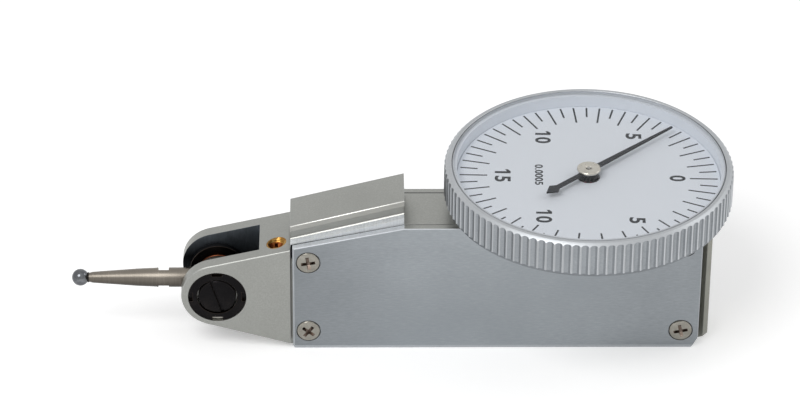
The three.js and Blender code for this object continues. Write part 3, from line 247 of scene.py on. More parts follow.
def round_edges(piece, width, finishes, segments=2, angle=32):
    """Gives a piece its finishes and breaks its sharp edges. Of several, the last is the edges' own."""
    hold(piece)
    dress(piece, finishes)
    step = piece.modifiers.new("broken_edges", "BEVEL")
    step.width = width
    step.segments = segments
    step.limit_method = "ANGLE"
    step.angle_limit = math.radians(angle)
    if len(finishes) > 1:
        step.material = len(finishes) - 1
    bpy.ops.object.modifier_apply(modifier=step.name)
    smooth(piece, 20)


def paint(piece, chosen):
    """Gives each face the finish that the rule picks by its middle and its direction, if any."""
    finishes = list(piece.data.materials)
    for face in piece.data.polygons:
        finish = chosen(face.center, face.normal)
        if finish:
            face.material_index = finishes.index(finish)


def settle(piece, body, slot, *nodes):
    """Brings a finished piece from millimetres to metres and hangs it on its body."""
    piece.data.transform(Matrix.Scale(0.001, 4))
    piece.data.update()
    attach(piece, body)
    if nodes:
        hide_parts(*nodes)


# Marks that a tool or a polishing belt leaves: lines along one direction, fine grain and broad clouds
# of tone. It gives a colour, a roughness and a height.
marks = bpy.data.node_groups.new("worked_surface", "ShaderNodeTree")
for kind, names in (
    ("NodeSocketColor", ("Plain Colour", "Bright Colour", "Dark Colour")),
    ("NodeSocketVector", ("Lines Each Way",)),
    ("NodeSocketFloat", (
        "Line Strength", "Cloud Size", "Cloud Strength", "Roughness", "Roughness Spread",
    )),
):
    for name in names:
        marks.interface.new_socket(name=name, in_out="INPUT", socket_type=kind)
for name, kind in (("Colour", "Color"), ("Roughness", "Float"), ("Height", "Float")):
    marks.interface.new_socket(name=name, in_out="OUTPUT", socket_type="NodeSocket" + kind)


def mixed(tree, share, first, second, blend="MIX"):
    """A colour between two, or one laid over the other."""
    settings = {"data_type": "RGBA", "blend_type": blend}
    return wire(tree, "ShaderNodeMix", settings, i0=share, i6=first, i7=second).outputs[2]


def vector_step(tree, operation, **inputs):
    """What a Vector Math node makes of its inputs."""
    return wire(tree, "ShaderNodeVectorMath", {"operation": operation}, **inputs).outputs[0]


given = marks.nodes.new("NodeGroupInput").outputs
result = marks.nodes.new("NodeGroupOutput").inputs
where = vector_step(marks, "SCALE", i0=place_on(marks), Scale=1000.0)
drawn = vector_step(marks, "MULTIPLY", i0=where, i1=given["Lines Each Way"])
wide = given["Cloud Size"]
each_way = wire(marks, "ShaderNodeCombineXYZ", X=wide, Y=wide, Z=wide).outputs[0]
shrunk = vector_step(marks, "DIVIDE", i0=where, i1=each_way)
lines = reckon(marks, "SUBTRACT", noise(marks, drawn, Scale=1.0, Detail=5.0, Roughness=0.65), 0.5)
lines = reckon(marks, "MULTIPLY", lines, given["Line Strength"])
clouds = reckon(marks, "SUBTRACT", noise(marks, shrunk, Scale=1.0, Detail=3.0), 0.5)
clouds = reckon(marks, "MULTIPLY", clouds, given["Cloud Strength"])
grain = noise(marks, where, Scale=14.0, Detail=4.0, Roughness=0.7)
grain = reckon(marks, "MULTIPLY_ADD", grain, 0.16, -0.08)
tones = reckon(marks, "ADD", reckon(marks, "ADD", lines, clouds), grain)
lighter = reckon(marks, "MULTIPLY", tones, 2.0, clamp=True)
darker = reckon(marks, "MULTIPLY", tones, -2.0, clamp=True)
lit = mixed(marks, lighter, given["Plain Colour"], given["Bright Colour"])
marks.links.new(mixed(marks, darker, lit, given["Dark Colour"]), result["Colour"])
uneven = reckon(marks, "MULTIPLY", tones, given["Roughness Spread"])
rough = reckon(marks, "ADD", uneven, given["Roughness"], clamp=True)
marks.links.new(rough, result["Roughness"])
marks.links.new(reckon(marks, "ADD", lines, grain), result["Height"])


def tone(red, green, blue):
    """A colour as a screen shows it, from 0 to 255, as the shader takes it."""
    levels = [((c / 255 + 0.055) / 1.055) ** 2.4 if c > 10 else c / 3295 for c in (red, green, blue)]
    return (*levels, 1)


def metal(name, plain, bright, dark, lines, strength, cloud, clouds, roughness, relief, spread=0.12,
          metallic=1.0):
    """A worked finish. Lines are so many per millimetre along each axis, a cloud so many wide."""
    finish = bpy.data.materials.new(name)
    finish.use_nodes = True
    tree = finish.node_tree
    worked = wire(
        tree, "ShaderNodeGroup", {"node_tree": marks},
        Plain_Colour=tone(*plain), Bright_Colour=tone(*bright), Dark_Colour=tone(*dark),
        Lines_Each_Way=lines, Line_Strength=strength, Cloud_Size=cloud, Cloud_Strength=clouds,
        Roughness=roughness, Roughness_Spread=spread,
    ).outputs
    bump = wire(tree, "ShaderNodeBump", Strength=relief, Distance=0.00002, Height=worked["Height"])
    shader = tree.nodes["Principled BSDF"].inputs
    shader["Metallic"].default_value = metallic
    tree.links.new(worked["Colour"], shader["Base Color"])
    tree.links.new(worked["Roughness"], shader["Roughness"])
    tree.links.new(bump.outputs[0], shader["Normal"])
    return finish


def along(tree, axis, start, end, least=0.0, step="LINEAR"):
    """A share that grows to 1 from one place along an axis to another, in metres."""
    spot = wire(tree, "ShaderNodeSeparateXYZ", Vector=place_on(tree)).outputs[axis]
    return wire(tree, "ShaderNodeMapRange", {"interpolation_type": step}, Value=spot,
                From_Min=start, From_Max=end, To_Min=least).outputs["Result"]


def recolour(finish, change):
    """Puts one more step between a finish's colour and its shader."""
    base = finish.node_tree.nodes["Principled BSDF"].inputs["Base Color"]
    finish.node_tree.links.new(change(finish.node_tree, base.links[0].from_socket), base)


satin_chrome = metal(
    "satin_chrome", (152, 153, 149), (190, 190, 187), (120, 120, 117),
    lines=(5, 5, 5), strength=0.4, cloud=6, clouds=0.2, roughness=0.42, relief=0.6)
milled_shoulder = metal(
    "milled_shoulder", (222, 226, 229), (244, 246, 248), (160, 164, 168),
    lines=(6, 0.6, 0.6), strength=0.7, cloud=3, clouds=0.2, roughness=0.6, relief=0.5, metallic=0.15)
chamfer_painted_highlight = metal(
    "chamfer_painted_highlight", (180, 180, 176), (226, 226, 223), (158, 158, 154),
    lines=(0.4, 10, 10), strength=0.3, cloud=2, clouds=0.3, roughness=0.3, relief=0.1)
fork_wall_painted_shade = metal(
    "fork_wall_painted_shade", (126, 134, 142), (166, 174, 182), (72, 77, 82),
    lines=(5, 1, 1), strength=0.5, cloud=2.5, clouds=0.6, roughness=0.5, relief=0.4)
rear_chrome_painted_shade = metal(
    "rear_chrome_painted_shade", (142, 142, 135), (172, 172, 165), (110, 110, 103),
    lines=(3, 8, 0.6), strength=0.3, cloud=4, clouds=0.3, roughness=0.42, relief=0.35)
flank_grey = metal(
    "flank_grey", (166, 166, 161), (196, 196, 192), (136, 136, 131),
    lines=(0.4, 8, 8), strength=0.3, cloud=3, clouds=0.25, roughness=0.5, relief=0.3, metallic=0.4)
rubbed_chrome = metal(
    "rubbed_chrome", (166, 167, 165), (204, 205, 204), (140, 141, 139),
    lines=(2, 2, 2), strength=0.3, cloud=1.5, clouds=0.3, roughness=0.42, relief=0.2)
case_finishes = [
    satin_chrome, milled_shoulder, chamfer_painted_highlight, fork_wall_painted_shade, rear_chrome_painted_shade, flank_grey, rubbed_chrome,
]
# Painted shade: the fork's walls and floor are painted dark, and darkest low down.
recolour(fork_wall_painted_shade, lambda tree, colour: mixed(
    tree, along(tree, "Z", 0.0085, 0.0122, 0.03), tone(12, 13, 14), colour))

case_height = 16.87
plate_front = -34.6
plate_front_height = 14.05
knee = -21.35
rear_outline = [(12.54, 0), (13.3, 1.5), (13.3, case_height), (knee, case_height)]
core_side = 3.27
nose_side = 4.15
pivot = (-43.14, 7.25)
tip_height = 7.41
tip_radius = 4.2
tip_steps = 60
top_slope = math.radians(13.5)
under_slope = math.radians(16.4)
fork_side, fork_floor = 2.6, -38.2
ring_seat_radius, ring_seat_floor = 3.41, 3.29
screw_bore_radius = 1.55
channel_side, channel_low, channel_high = 1, 5.25, 9.25
plug_place = (-36.2, -1.9)
adjusting_hole_radius, adjusting_hole_floor = 1.17, 10.14

tip_turn = math.pi - top_slope - under_slope
tip_corners = []
for step in range(tip_steps + 1):
    turn = math.pi / 2 + top_slope + tip_turn * step / tip_steps
    tip_corners.append((pivot[0] + tip_radius * math.cos(turn), tip_height + tip_radius * math.sin(turn)))
nose_length = plate_front - pivot[0]
nose_top = tip_height + tip_radius / math.cos(top_slope) + nose_length * math.tan(top_slope)
nose_under = tip_height - tip_radius / math.cos(under_slope) - nose_length * math.tan(under_slope)
nose = prism("nose", [(plate_front, nose_under), (plate_front, nose_top)] + tip_corners,
             "Y", -nose_side, nose_side)
chamfer(nose, 0.09, lambda a, b: abs(abs(a.y) - nose_side) < 1e-3 and abs(a.y - b.y) < 1e-3
        and max(a.x, b.x) < plate_front + 1e-3 and min(a.x, b.x) < plate_front - 0.01)
machine(nose, block("fork", (-55, -fork_side, -1), (fork_floor, fork_side, 17)))
for side in (-1, 1):
    machine(nose, bar("ring_seat", ring_seat_radius, side * ring_seat_floor, side * 6, "Y", pivot))
    machine(nose, bar("screw_bore", screw_bore_radius, side * 2, side * 4, "Y", pivot))
machine(nose, bar("adjusting_hole", adjusting_hole_radius, adjusting_hole_floor, 17, "Z", plug_place))
machine(nose, block("lever_channel", (-38.7, -channel_side, channel_low),
                    (-34, channel_side, channel_high)))
round_edges(nose, 0.07, case_finishes)

core = prism("case_body", [(plate_front, 0), *rear_outline, (plate_front, plate_front_height)],
             "Y", -core_side, core_side)
machine(core, prism("train_room", [
    (-19.49, 4.45), (-6.2, 4.45), (-6.2, 1.6), (8.0, 1.6), (8.0, 14.47), (-6.2, 14.47),
    (-6.2, 10.05), (-19.49, 10.05),
], "Y", -5, 5))
pocket_floor = 2.45
for low, high in ((-5, -pocket_floor), (pocket_floor, 5)):
    machine(core, block("plate_pocket", (-13.7, low, 1), (10.0, high, 15.57)))
machine(core, block("lever_channel", (-36, -channel_side, channel_low),
                    (-18.99, channel_side, channel_high)))
machine(core, bar("collet_room", 0.85, 14, 18, "Z", (0, 0)))
round_edges(core, 0.06, case_finishes)

shoulder_top = 14.16
rail_top = 16.36
rail_side, rail_waist = 3, 2.42
climb = math.tan(math.radians(15))
half_rail = [(rail_waist, 13.2), (rail_waist, shoulder_top), (2.28, shoulder_top + 0.14),
             (rail_side, rail_top - 0.7), (rail_side, rail_top)]
rail = prism("rail", half_rail + [(-y, z) for y, z in reversed(half_rail)], "X", plate_front, knee)
chamfer(rail, 0.1, lambda a, b: min(abs(a.y), abs(b.y)) > 2.9 and min(a.z, b.z) > rail_top - 1e-3
        and abs(a.x - b.x) > 5)
shoulder = block("shoulder", (plate_front, -core_side, 12), (knee, core_side, shoulder_top))
for piece in (rail, shoulder):
    for corner in piece.data.vertices:
        corner.co.z += (corner.co.x - plate_front) * climb
    round_edges(piece, 0.04, case_finishes)

rear_end = 14.5
half_rear = [(12.8, 2.35), (13.3, 2.35), (rear_end - 0.55, 3), (rear_end, 3)]
rear_rail = prism("rear_rail", [(x, -y) for x, y in half_rear] + half_rear[::-1], "Z", 0, case_height)
machine(rear_rail, prism("under_cut", [
    (rear_end - 1.25, 0), (rear_end - 1.25, -1), (rear_end + 1, -1), (rear_end + 1, 2.25),
], "Y", -6, 6))
round_edges(rear_rail, 0.12, case_finishes)


def case_finish(middle, facing):
    """The finish of the case at one of its faces, or none where it is plain satin or a broken edge."""
    rise = (middle.x - plate_front) * climb
    sideways = abs(facing.y) > 0.5
    if plate_front + 0.1 < middle.x < knee - 0.1 and middle.z > shoulder_top + rise - 0.4:
        off_shoulder = middle.z - shoulder_top - rise
        # Painted highlights on the rail's top chamfers and along the foot of its flanks.
        if sideways and facing.z > 0.3 and (middle.z > rail_top + rise - 0.3 or off_shoulder < 0.15):
            return chamfer_painted_highlight
        if abs(off_shoulder) < 0.05 and facing.z > 0.5:
            return milled_shoulder
        if sideways and abs(middle.y) > 2.25 and middle.z < rail_top + rise - 0.05:
            return flank_grey
    on_core_side = abs(abs(middle.y) - core_side) < 0.05 and abs(facing.y) > 0.9
    if plate_front < middle.x < knee and middle.z > 12.5 and on_core_side:
        return milled_shoulder
    # Painted shade darkens the faces of the rear end.
    if middle.x > 13.32:
        return rear_chrome_painted_shade
    # Painted shade on the fork's walls and floor.
    in_fork = middle.x < fork_floor + 0.2 and abs(middle.y) < fork_side + 0.05
    return fork_wall_painted_shade if in_fork and (abs(facing.y) > 0.9 or facing.x < -0.9) else None


case_body = joined("case_body", (core, nose, rail, shoulder, rear_rail))
paint(case_body, case_finish)
settle(case_body, "case", "satin_chrome", "frame")


# Movement inside the case: brass plates with screws and ruby bearings on both sides, a brass cock
# under the dial, and the sector, crown wheel and centre pinion that turn the hand.
turned_brass = metal(
    "turned_brass", (190, 155, 92), (226, 196, 136), (140, 104, 56),
    lines=(12, 0.5, 12), strength=0.35, cloud=3, clouds=0.3, roughness=0.3, relief=0.3)
train_steel = metal(
    "train_steel", (172, 170, 166), (214, 213, 210), (120, 119, 117),
    lines=(12, 1, 12), strength=0.35, cloud=2, clouds=0.2, roughness=0.22, relief=0.3)
blued_steel = metal(
    "blued_steel", (52, 66, 110), (96, 116, 176), (28, 34, 66),
    lines=(9, 9, 1), strength=0.3, cloud=1.5, clouds=0.4, roughness=0.25, relief=0.2)
ruby = metal(
    "ruby", (168, 22, 52), (214, 60, 92), (110, 8, 30),
    lines=(3, 3, 3), strength=0.2, cloud=0.6, clouds=0.5, roughness=0.08, spread=0.04, relief=0.02,
    metallic=0.0)
for finish, nodes in (
    (turned_brass, "near_movement_plate far_movement_plate centre_cock sector_gear crown_wheel "
                   "hairspring_collet hairspring_stud"),
    (train_steel, "near_movement_screw_1 near_movement_screw_2 far_movement_screw_1 "
                  "far_movement_screw_2 cock_screw sector_arbor crown_arbor centre_arbor drive_pin "
                  "swivel_axle dial_base_screw_1 dial_base_screw_2 bezel_friction_spring"),
    (blued_steel, "hairspring"),
    (ruby, "near_sector_jewel far_sector_jewel near_crown_jewel far_crown_jewel "
           "lower_centre_jewel upper_centre_jewel end_stone"),
    (satin_chrome, "dial_base"),
):
    for node in nodes.split():
        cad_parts[node].data.materials.clear()
        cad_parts[node].data.materials.append(finish)


# Adjusting screw of the movement, a brass plug down a threaded hole in the nose's top. Its thread
# shows as gold rings above a slotted face that has gone red-brown.
def turned(name, profile, facets=128):
    """A closed outline in radius and height, spun about the upright axis."""
    piece = outline(name, [(radius, 0, height) for radius, height in profile], "NOTHING")
    bpy.ops.mesh.spin(steps=facets, angle=2 * math.pi, center=(0, 0, 0), axis=(0, 0, 1))
    bpy.ops.mesh.select_all(action="SELECT")
    bpy.ops.mesh.remove_doubles(threshold=1e-4)
    bpy.ops.mesh.delete_loose(use_faces=False)
    return faced_outwards(piece)


def put(piece, place, *turns):
    """Turns a piece by degrees about each axis, the last one given first, and then moves it."""
    way = Matrix.Translation(place)
    for degrees, axis in turns:
        way = way @ Matrix.Rotation(math.radians(degrees), 4, axis)
    piece.data.transform(way)


def cut_off(piece, place, facing):
    """Takes away what lies beyond a plane and closes the cut."""
    hold(piece)
    bpy.ops.object.mode_set(mode="EDIT")
    bpy.ops.mesh.select_all(action="SELECT")
    bpy.ops.mesh.bisect(plane_co=place, plane_no=facing, clear_outer=True, use_fill=True)
    bpy.ops.object.mode_set(mode="OBJECT")


tarnished_brass = metal(
    "tarnished_brass", (104, 52, 26), (178, 116, 60), (40, 18, 12),
    lines=(5, 5, 5), strength=0.6, cloud=0.8, clouds=0.8, roughness=0.4, relief=0.5)
gold_thread = metal(
    "gold_thread", (150, 110, 52), (232, 206, 138), (70, 38, 16),
    lines=(4, 4, 9), strength=0.8, cloud=0.9, clouds=0.5, roughness=0.24, relief=0.4)
plug_foot, screw_face = adjusting_hole_floor + 0.01, 12.85
plug_radius = adjusting_hole_radius - 0.05
plug = turned("adjusting_plug", [
    (0, plug_foot), (plug_radius - 0.1, plug_foot), (plug_radius, plug_foot + 0.1),
    (plug_radius, screw_face), (1.0, screw_face), (0.62, screw_face - 0.5), (0, screw_face - 0.62),
], 64)
machine(plug, block("slot", (-0.18, -0.9, screw_face - 0.8), (0.18, 0.9, screw_face + 1)))

sleeve_radius, groove_radius, crest_radius = adjusting_hole_radius - 0.01, 1.08, 0.95
sleeve_low, sleeve_high = screw_face - 0.1, screw_face + 1.1
pitch = 0.24
thread = []
for winding in range(5):
    low = sleeve_low + winding * pitch
    thread += [(groove_radius, low), (crest_radius, low + pitch / 2)]
sleeve = turned("adjusting_thread", [
    (sleeve_radius, sleeve_low), *thread, (groove_radius, sleeve_high), (sleeve_radius, sleeve_high),
], 64)
for piece in (plug, sleeve):
    put(piece, (*plug_place, 0))
cut_off(sleeve, (plate_front, 0, nose_top - 0.03), (-math.sin(top_slope), 0, math.cos(top_slope)))

tarnish_low = screw_face - 0.7
round_edges(plug, 0.03, [tarnished_brass, gold_thread])
paint(plug, lambda middle, facing: tarnished_brass if middle.z > tarnish_low else gold_thread)
settle(plug, "case", "brass", "adjusting_screw")
smooth(sleeve, 20)
dress(sleeve, [gold_thread])
settle(sleeve, "case", "brass")


# Measuring lever, blackened steel: two round ears that turn in the fork, a yoke behind the hub and
# one slim arm that runs back through the case to the sector gear.
black_steel = metal(
    "black_steel", (27, 26, 27), (62, 56, 52), (10, 10, 11),
    lines=(6, 2, 6), strength=0.3, cloud=2.5, clouds=0.4, roughness=0.36, spread=0.2, relief=0.4)
black_edge = metal(
    "black_edge", (54, 47, 43), (96, 85, 78), (34, 30, 28),
    lines=(6, 6, 6), strength=0.4, cloud=1, clouds=0.5, roughness=0.3, relief=0.2)
ear_radius = 3.3
ear_inside, ear_outside = 1.53, 2.25
yoke_front, yoke_rear = -40.49, -39.54
yoke_low, yoke_high = 6.05, 8.45
arm_end = -16.89
half_arm = 0.6
axle_radius = 0.8
pin_reach, pin_radius = -17.59, 0.4
ears = []
for low, high in ((-ear_outside, -ear_inside), (ear_inside, ear_outside)):
    ear = bar("ear", ear_radius, low, high, "Y", pivot)
    machine(ear, block("link", (pivot[0], low, yoke_low), (yoke_rear, high, yoke_high)), "UNION")
    ears.append(ear)
measuring_lever, far_ear = ears
measuring_lever.name = "lever_with_ears"
yoke = block("yoke", (yoke_front, -ear_outside, yoke_low), (yoke_rear, ear_outside, yoke_high))
arm = prism("arm", [(yoke_front, 6.45), (arm_end, 6.6), (arm_end, 7.9), (yoke_front, 8.05)],
            "Y", -half_arm, half_arm)
for piece in (far_ear, yoke, arm):
    machine(measuring_lever, piece, "UNION")
machine(measuring_lever, bar("axle_hole", axle_radius, -3, 3, "Y", pivot, 48))
machine(measuring_lever, bar("pin_hole", pin_radius, -3, 3, "Y", (pin_reach, pivot[1]), 24))
round_edges(measuring_lever, 0.09, [black_steel, black_edge])
settle(measuring_lever, "lever", "black_oxide", "measuring_lever")


# Friction washers of bronze on each side of the swivel hub, which hold the stylus where it is set.
worn_bronze = metal(
    "worn_bronze", (104, 58, 38), (156, 102, 68), (52, 28, 20),
    lines=(9, 1, 9), strength=0.4, cloud=1.2, clouds=0.6, roughness=0.36, relief=0.3)
washer_thickness = 0.38
washer_radius = 2.3
washer_outline = [
    (axle_radius, 0), (washer_radius - 0.06, 0), (washer_radius, 0.06),
    (washer_radius, washer_thickness - 0.06), (washer_radius - 0.06, washer_thickness),
    (axle_radius, washer_thickness),
]
for name, far_face in (("near", washer_thickness - ear_inside), ("far", ear_inside)):
    washer = turned(f"{name}_washer", washer_outline, 96)
    put(washer, (pivot[0], far_face, pivot[1]), (90, "X"))
    round_edges(washer, 0.02, [worn_bronze], 1)
    settle(washer, "lever", "copper", f"{name}_friction_washer")


# Swivel hub, a round steel boss on the lever's axle with a threaded hole that takes the stylus. Its
# steel and the stylus's carry painted shade, darkest underneath.
stylus_steel_painted_shade = metal(
    "stylus_steel_painted_shade", (122, 117, 110), (184, 178, 170), (90, 88, 85),
    lines=(16, 0.6, 0.6), strength=0.4, cloud=4, clouds=0.2, roughness=0.36, spread=0.1, relief=0.25)
# Painted shade: the steel darkens below the axle's height.
recolour(stylus_steel_painted_shade, lambda tree, colour: mixed(tree, 1.0, colour, mixed(
    tree, along(tree, "Z", 0.0067, 0.0080), tone(154, 152, 150), tone(255, 253, 250)), "MULTIPLY"))
hub_radius, hub_side, hub_bevel = 2.4, 1.1, 0.18
half_hub = [
    (axle_radius, hub_side), (hub_radius - hub_bevel, hub_side), (hub_radius, hub_side - hub_bevel),
]
hub = turned("hub", [(radius, -side) for radius, side in half_hub] + half_hub[::-1], 128)
put(hub, (pivot[0], 0, pivot[1]), (90, "X"))
machine(hub, bar("thread_hole", 0.75, -49, -44.43, "X", (0, pivot[1]), 48))
round_edges(hub, 0.04, [stylus_steel_painted_shade])
settle(hub, "stylus", "steel", "swivel_hub")


# Stylus, turned and polished steel: a thread in the hub, a plain shank with two spanner flats, and a
# long taper down to the neck that carries the ball.
def point_ahead(piece):
    """Lays an upright turned piece along the case, with its foot at the pivot."""
    put(piece, (pivot[0], 0, pivot[1]), (-90, "Y"))


shank_radius, shank_end = 1.15, 7.16
neck_end = 15.28
shaft = turned("shaft", [
    (0, 1.35), (0.62, 1.35), (0.7, 1.45), (0.7, 2.45), (1.06, 2.45), (shank_radius, 2.54),
    (shank_radius, shank_end - 0.05), (1.12, shank_end + 0.05), (1.02, 9.5), (0.86, 11.7),
    (0.73, 13.6), (0.64, 14.75), (0.56, 15.02), (0.54, 15.2), (0.58, neck_end), (0, neck_end),
], 128)
point_ahead(shaft)
flat_front, flat_rear = -50.15, -48.9
for low, high in ((-2, -1.0), (0.83, 2)):
    flat = block("flat", (flat_front, -2, low), (flat_rear, 2, high))
    put(flat, (0, 0, pivot[1]), (-34, "X"))
    machine(shaft, flat)
round_edges(shaft, 0.035, [stylus_steel_painted_shade])
settle(shaft, "stylus", "steel", "stylus_shaft")

polished_carbide = metal(
    "polished_carbide", (100, 102, 105), (176, 178, 180), (46, 47, 50),
    lines=(5, 5, 5), strength=0.2, cloud=0.7, clouds=0.6, roughness=0.1, spread=0.05, relief=0.03)
ball_reach, ball_radius = 16.16, 1.0
bpy.ops.object.select_all(action="DESELECT")
bpy.ops.mesh.primitive_uv_sphere_add(
    segments=72, ring_count=48, radius=ball_radius, location=(0, 0, ball_reach))
ball = bpy.context.object
ball.name = "ball"
bpy.ops.object.transform_apply(location=True, rotation=True, scale=True)
cut_off(ball, (0, 0, neck_end + 0.02), (0, 0, -1))
smooth(ball, 30)
point_ahead(ball)
dress(ball, [polished_carbide])
settle(ball, "stylus", "carbide", "stylus_ball")

dark_braze = metal(
    "dark_braze", (40, 38, 37), (84, 80, 76), (20, 19, 18),
    lines=(9, 5, 5), strength=0.4, cloud=0.5, clouds=0.5, roughness=0.32, relief=0.4)
braze = turned("ball_braze", [(0.5, 15.16), (0.6, 15.16), (0.61, 15.24), (0.57, 15.33), (0.5, 15.34)], 64)
point_ahead(braze)
round_edges(braze, 0.01, [dark_braze], 1, 60)
settle(braze, "stylus", "steel")


# Pivot screws and lock rings, blackened steel, let into both cheeks of the nose. A slotted screw
# carries each end of the lever's axle, and a ring with four spanner notches locks it.
notch_floor_painted_light = metal(
    "notch_painted_light", (214, 210, 202), (240, 238, 234), (150, 146, 140),
    lines=(9, 1, 9), strength=0.3, cloud=1, clouds=0.3, roughness=0.45, relief=0.3, metallic=0.3)


def to_side(piece, side):
    """Moves a piece that was drawn on the far side to the near one."""
    if side < 0:
        piece.data.transform(Matrix.Scale(-1, 4, (0, 1, 0)))
        piece.data.flip_normals()


ring_top = 4.09
ring_inside, ring_outside, ring_height = 2.36, 3.35, 0.8
notch_start, half_notch, notch_depth = 2.86, 0.6, 0.4
screw_radius, screw_head, screw_shank = 2.2, 0.72, 1.14
slot_half, slot_depth = 0.21, 0.32
seat = (pivot[0], ring_top, pivot[1])
for side, name in ((-1, "near"), (1, "far")):
    ring = turned(f"{name}_ring", [
        (ring_inside, 0), (ring_outside, 0), (ring_outside, ring_height), (ring_inside, ring_height),
    ], 160)
    for quarter in range(4):
        notch = block("notch", (notch_start, -half_notch, -1), (4, half_notch, notch_depth))
        put(notch, (0, 0, 0), (90 * quarter, "Z"))
        machine(ring, notch)
    round_edges(ring, 0.09, [black_steel, notch_floor_painted_light, black_edge])
    # Painted light: the lowest notch alone is painted bright, as if lit, and the others stay black.
    paint(ring, lambda middle, facing: notch_floor_painted_light if middle.y < -2.5 and 0.1 < middle.z < 0.45
          and middle.xy.length > 2.8 else None)
    put(ring, seat, (90, "X"))
    to_side(ring, side)
    settle(ring, "case", "black_oxide", f"{name}_lock_ring")

    screw = bar(f"{name}_screw", screw_radius, -screw_head, 0, "Z", (0, 0), 128)
    chamfer(screw, 0.1, lambda a, b: min(a.z, b.z) > -0.01)
    machine(screw, bar("shank", 1.5, -screw_shank, 0.02 - screw_head, "Z", (0, 0)), "UNION")
    machine(screw, bar("point", 0.32, -2.4, 0.04 - screw_shank, "Z", (0, 0), 32), "UNION")
    machine(screw, block("slot", (-slot_half, -3, -slot_depth), (slot_half, 3, 1)))
    round_edges(screw, 0.05, [black_steel, black_edge])
    put(screw, seat, (-17, "Y"), (-90, "X"))
    to_side(screw, side)
    settle(screw, "case", "black_oxide", f"{name}_pivot_screw")


# Cover plates, steel brushed lengthwise, one millimetre thick. Each closes a side of the case and
# carries four screws in counterbores; its outer edge is broken all round.
def painted_sheen(tree, colour):
    """Painted sheen: darkens a colour towards both ends of the case, leaving the middle lighter."""
    front = along(tree, "X", -0.036, -0.018, 0.74, "SMOOTHSTEP")
    rear = along(tree, "X", 0.014, -0.006, 0.84, "SMOOTHSTEP")
    return vector_step(tree, "SCALE", i0=colour, Scale=reckon(tree, "MULTIPLY", front, rear))


brushed_plate = metal(
    "brushed_plate", (148, 153, 157), (186, 191, 196), (118, 124, 130),
    lines=(1.1, 4, 8), strength=0.44, cloud=13, clouds=0.4, roughness=0.34, spread=0.16, relief=0.5)
plate_edge = metal(
    "plate_edge", (206, 210, 214), (232, 236, 240), (160, 165, 170),
    lines=(5, 1, 1), strength=0.35, cloud=3, clouds=0.25, roughness=0.55, relief=0.3, metallic=0.3)
bevel_painted_highlight = metal(
    "bevel_painted_highlight", (172, 176, 180), (200, 204, 208), (140, 145, 150),
    lines=(3, 3, 3), strength=0.35, cloud=2, clouds=0.3, roughness=0.45, relief=0.3, metallic=0.7)
seam_painted_shade = metal(
    "seam_painted_shade", (58, 60, 62), (96, 98, 100), (28, 29, 30),
    lines=(6, 6, 6), strength=0.5, cloud=1, clouds=0.5, roughness=0.6, relief=0.3, metallic=0.3)
recolour(brushed_plate, painted_sheen)
plate_side = 4.27
seam = 0.27
screw_places = [(-32.5, 12.15), (-32.5, 2.5), (11.2, 14.37), (11.2, 2.5)]
seat_radius, seat_floor = 1.45, 3.87


def plate_finish(middle, facing):
    """The finish of a cover plate at one of its faces, or none on the brushed side and in the seats."""
    # Painted shade in the seam by the core and on the end wall that meets the nose.
    by_core = middle.y < core_side + 0.2 and abs(facing.y) < 0.9
    at_nose = facing.x < -0.9 and middle.y < plate_side - 0.3
    if by_core or at_nose:
        return seam_painted_shade
    off_screw = min(math.dist((middle.x, middle.z), place) for place in screw_places)
    if facing.y < 0.98 and middle.y > core_side + 0.1 and off_screw > seat_radius + 0.1:
        # Painted highlight on the plate's bevels.
        if facing.z <= 0.9:
            return bevel_painted_highlight
        return plate_edge if middle.x < knee else satin_chrome
    return None


for side, name in ((-1, "near"), (1, "far")):
    plate = prism(f"{name}_plate", [
        (plate_front + 0.5, 0), *rear_outline, (plate_front + seam, plate_front_height),
        (plate_front + seam, 0.4),
    ], "Y", core_side, plate_side)
    chamfer(plate, 0.08, lambda a, b: min(a.y, b.y) > plate_side - 1e-3 and max(a.z, b.z) > 1.4
            and (a - b).length > 2)
    chamfer(plate, 0.12, lambda a, b: max(a.y, b.y) < core_side + 1e-3
            and min(a.z, b.z) > plate_front_height - 0.5)
    for place in screw_places:
        machine(plate, bar("counterbore", seat_radius, seat_floor, 6, "Y", place, 64))
        machine(plate, bar("screw_hole", 0.71, 2, 5, "Y", place, 32))
    machine(plate, prism("lower_bevel", [
        (plate_side - 0.16, -0.1), (plate_side - 0.13, 0), (plate_side, 0.42), (plate_side + 1, 0.42),
        (plate_side + 1, -0.1),
    ], "X", -40, 20))
    machine(plate, prism("front_bevel", [
        (plate_front - 0.1, plate_side - 0.16), (plate_front + seam, plate_side - 0.12),
        (plate_front + seam + 0.2, plate_side), (plate_front + seam + 0.2, plate_side + 1),
        (plate_front - 0.1, plate_side + 1),
    ], "Z", -1, 20))
    round_edges(plate, 0.045, [brushed_plate, seam_painted_shade, satin_chrome, plate_edge, bevel_painted_highlight])
    paint(plate, plate_finish)
    to_side(plate, side)
    settle(plate, "case", "brushed_plate", f"{name}_cover_plate")


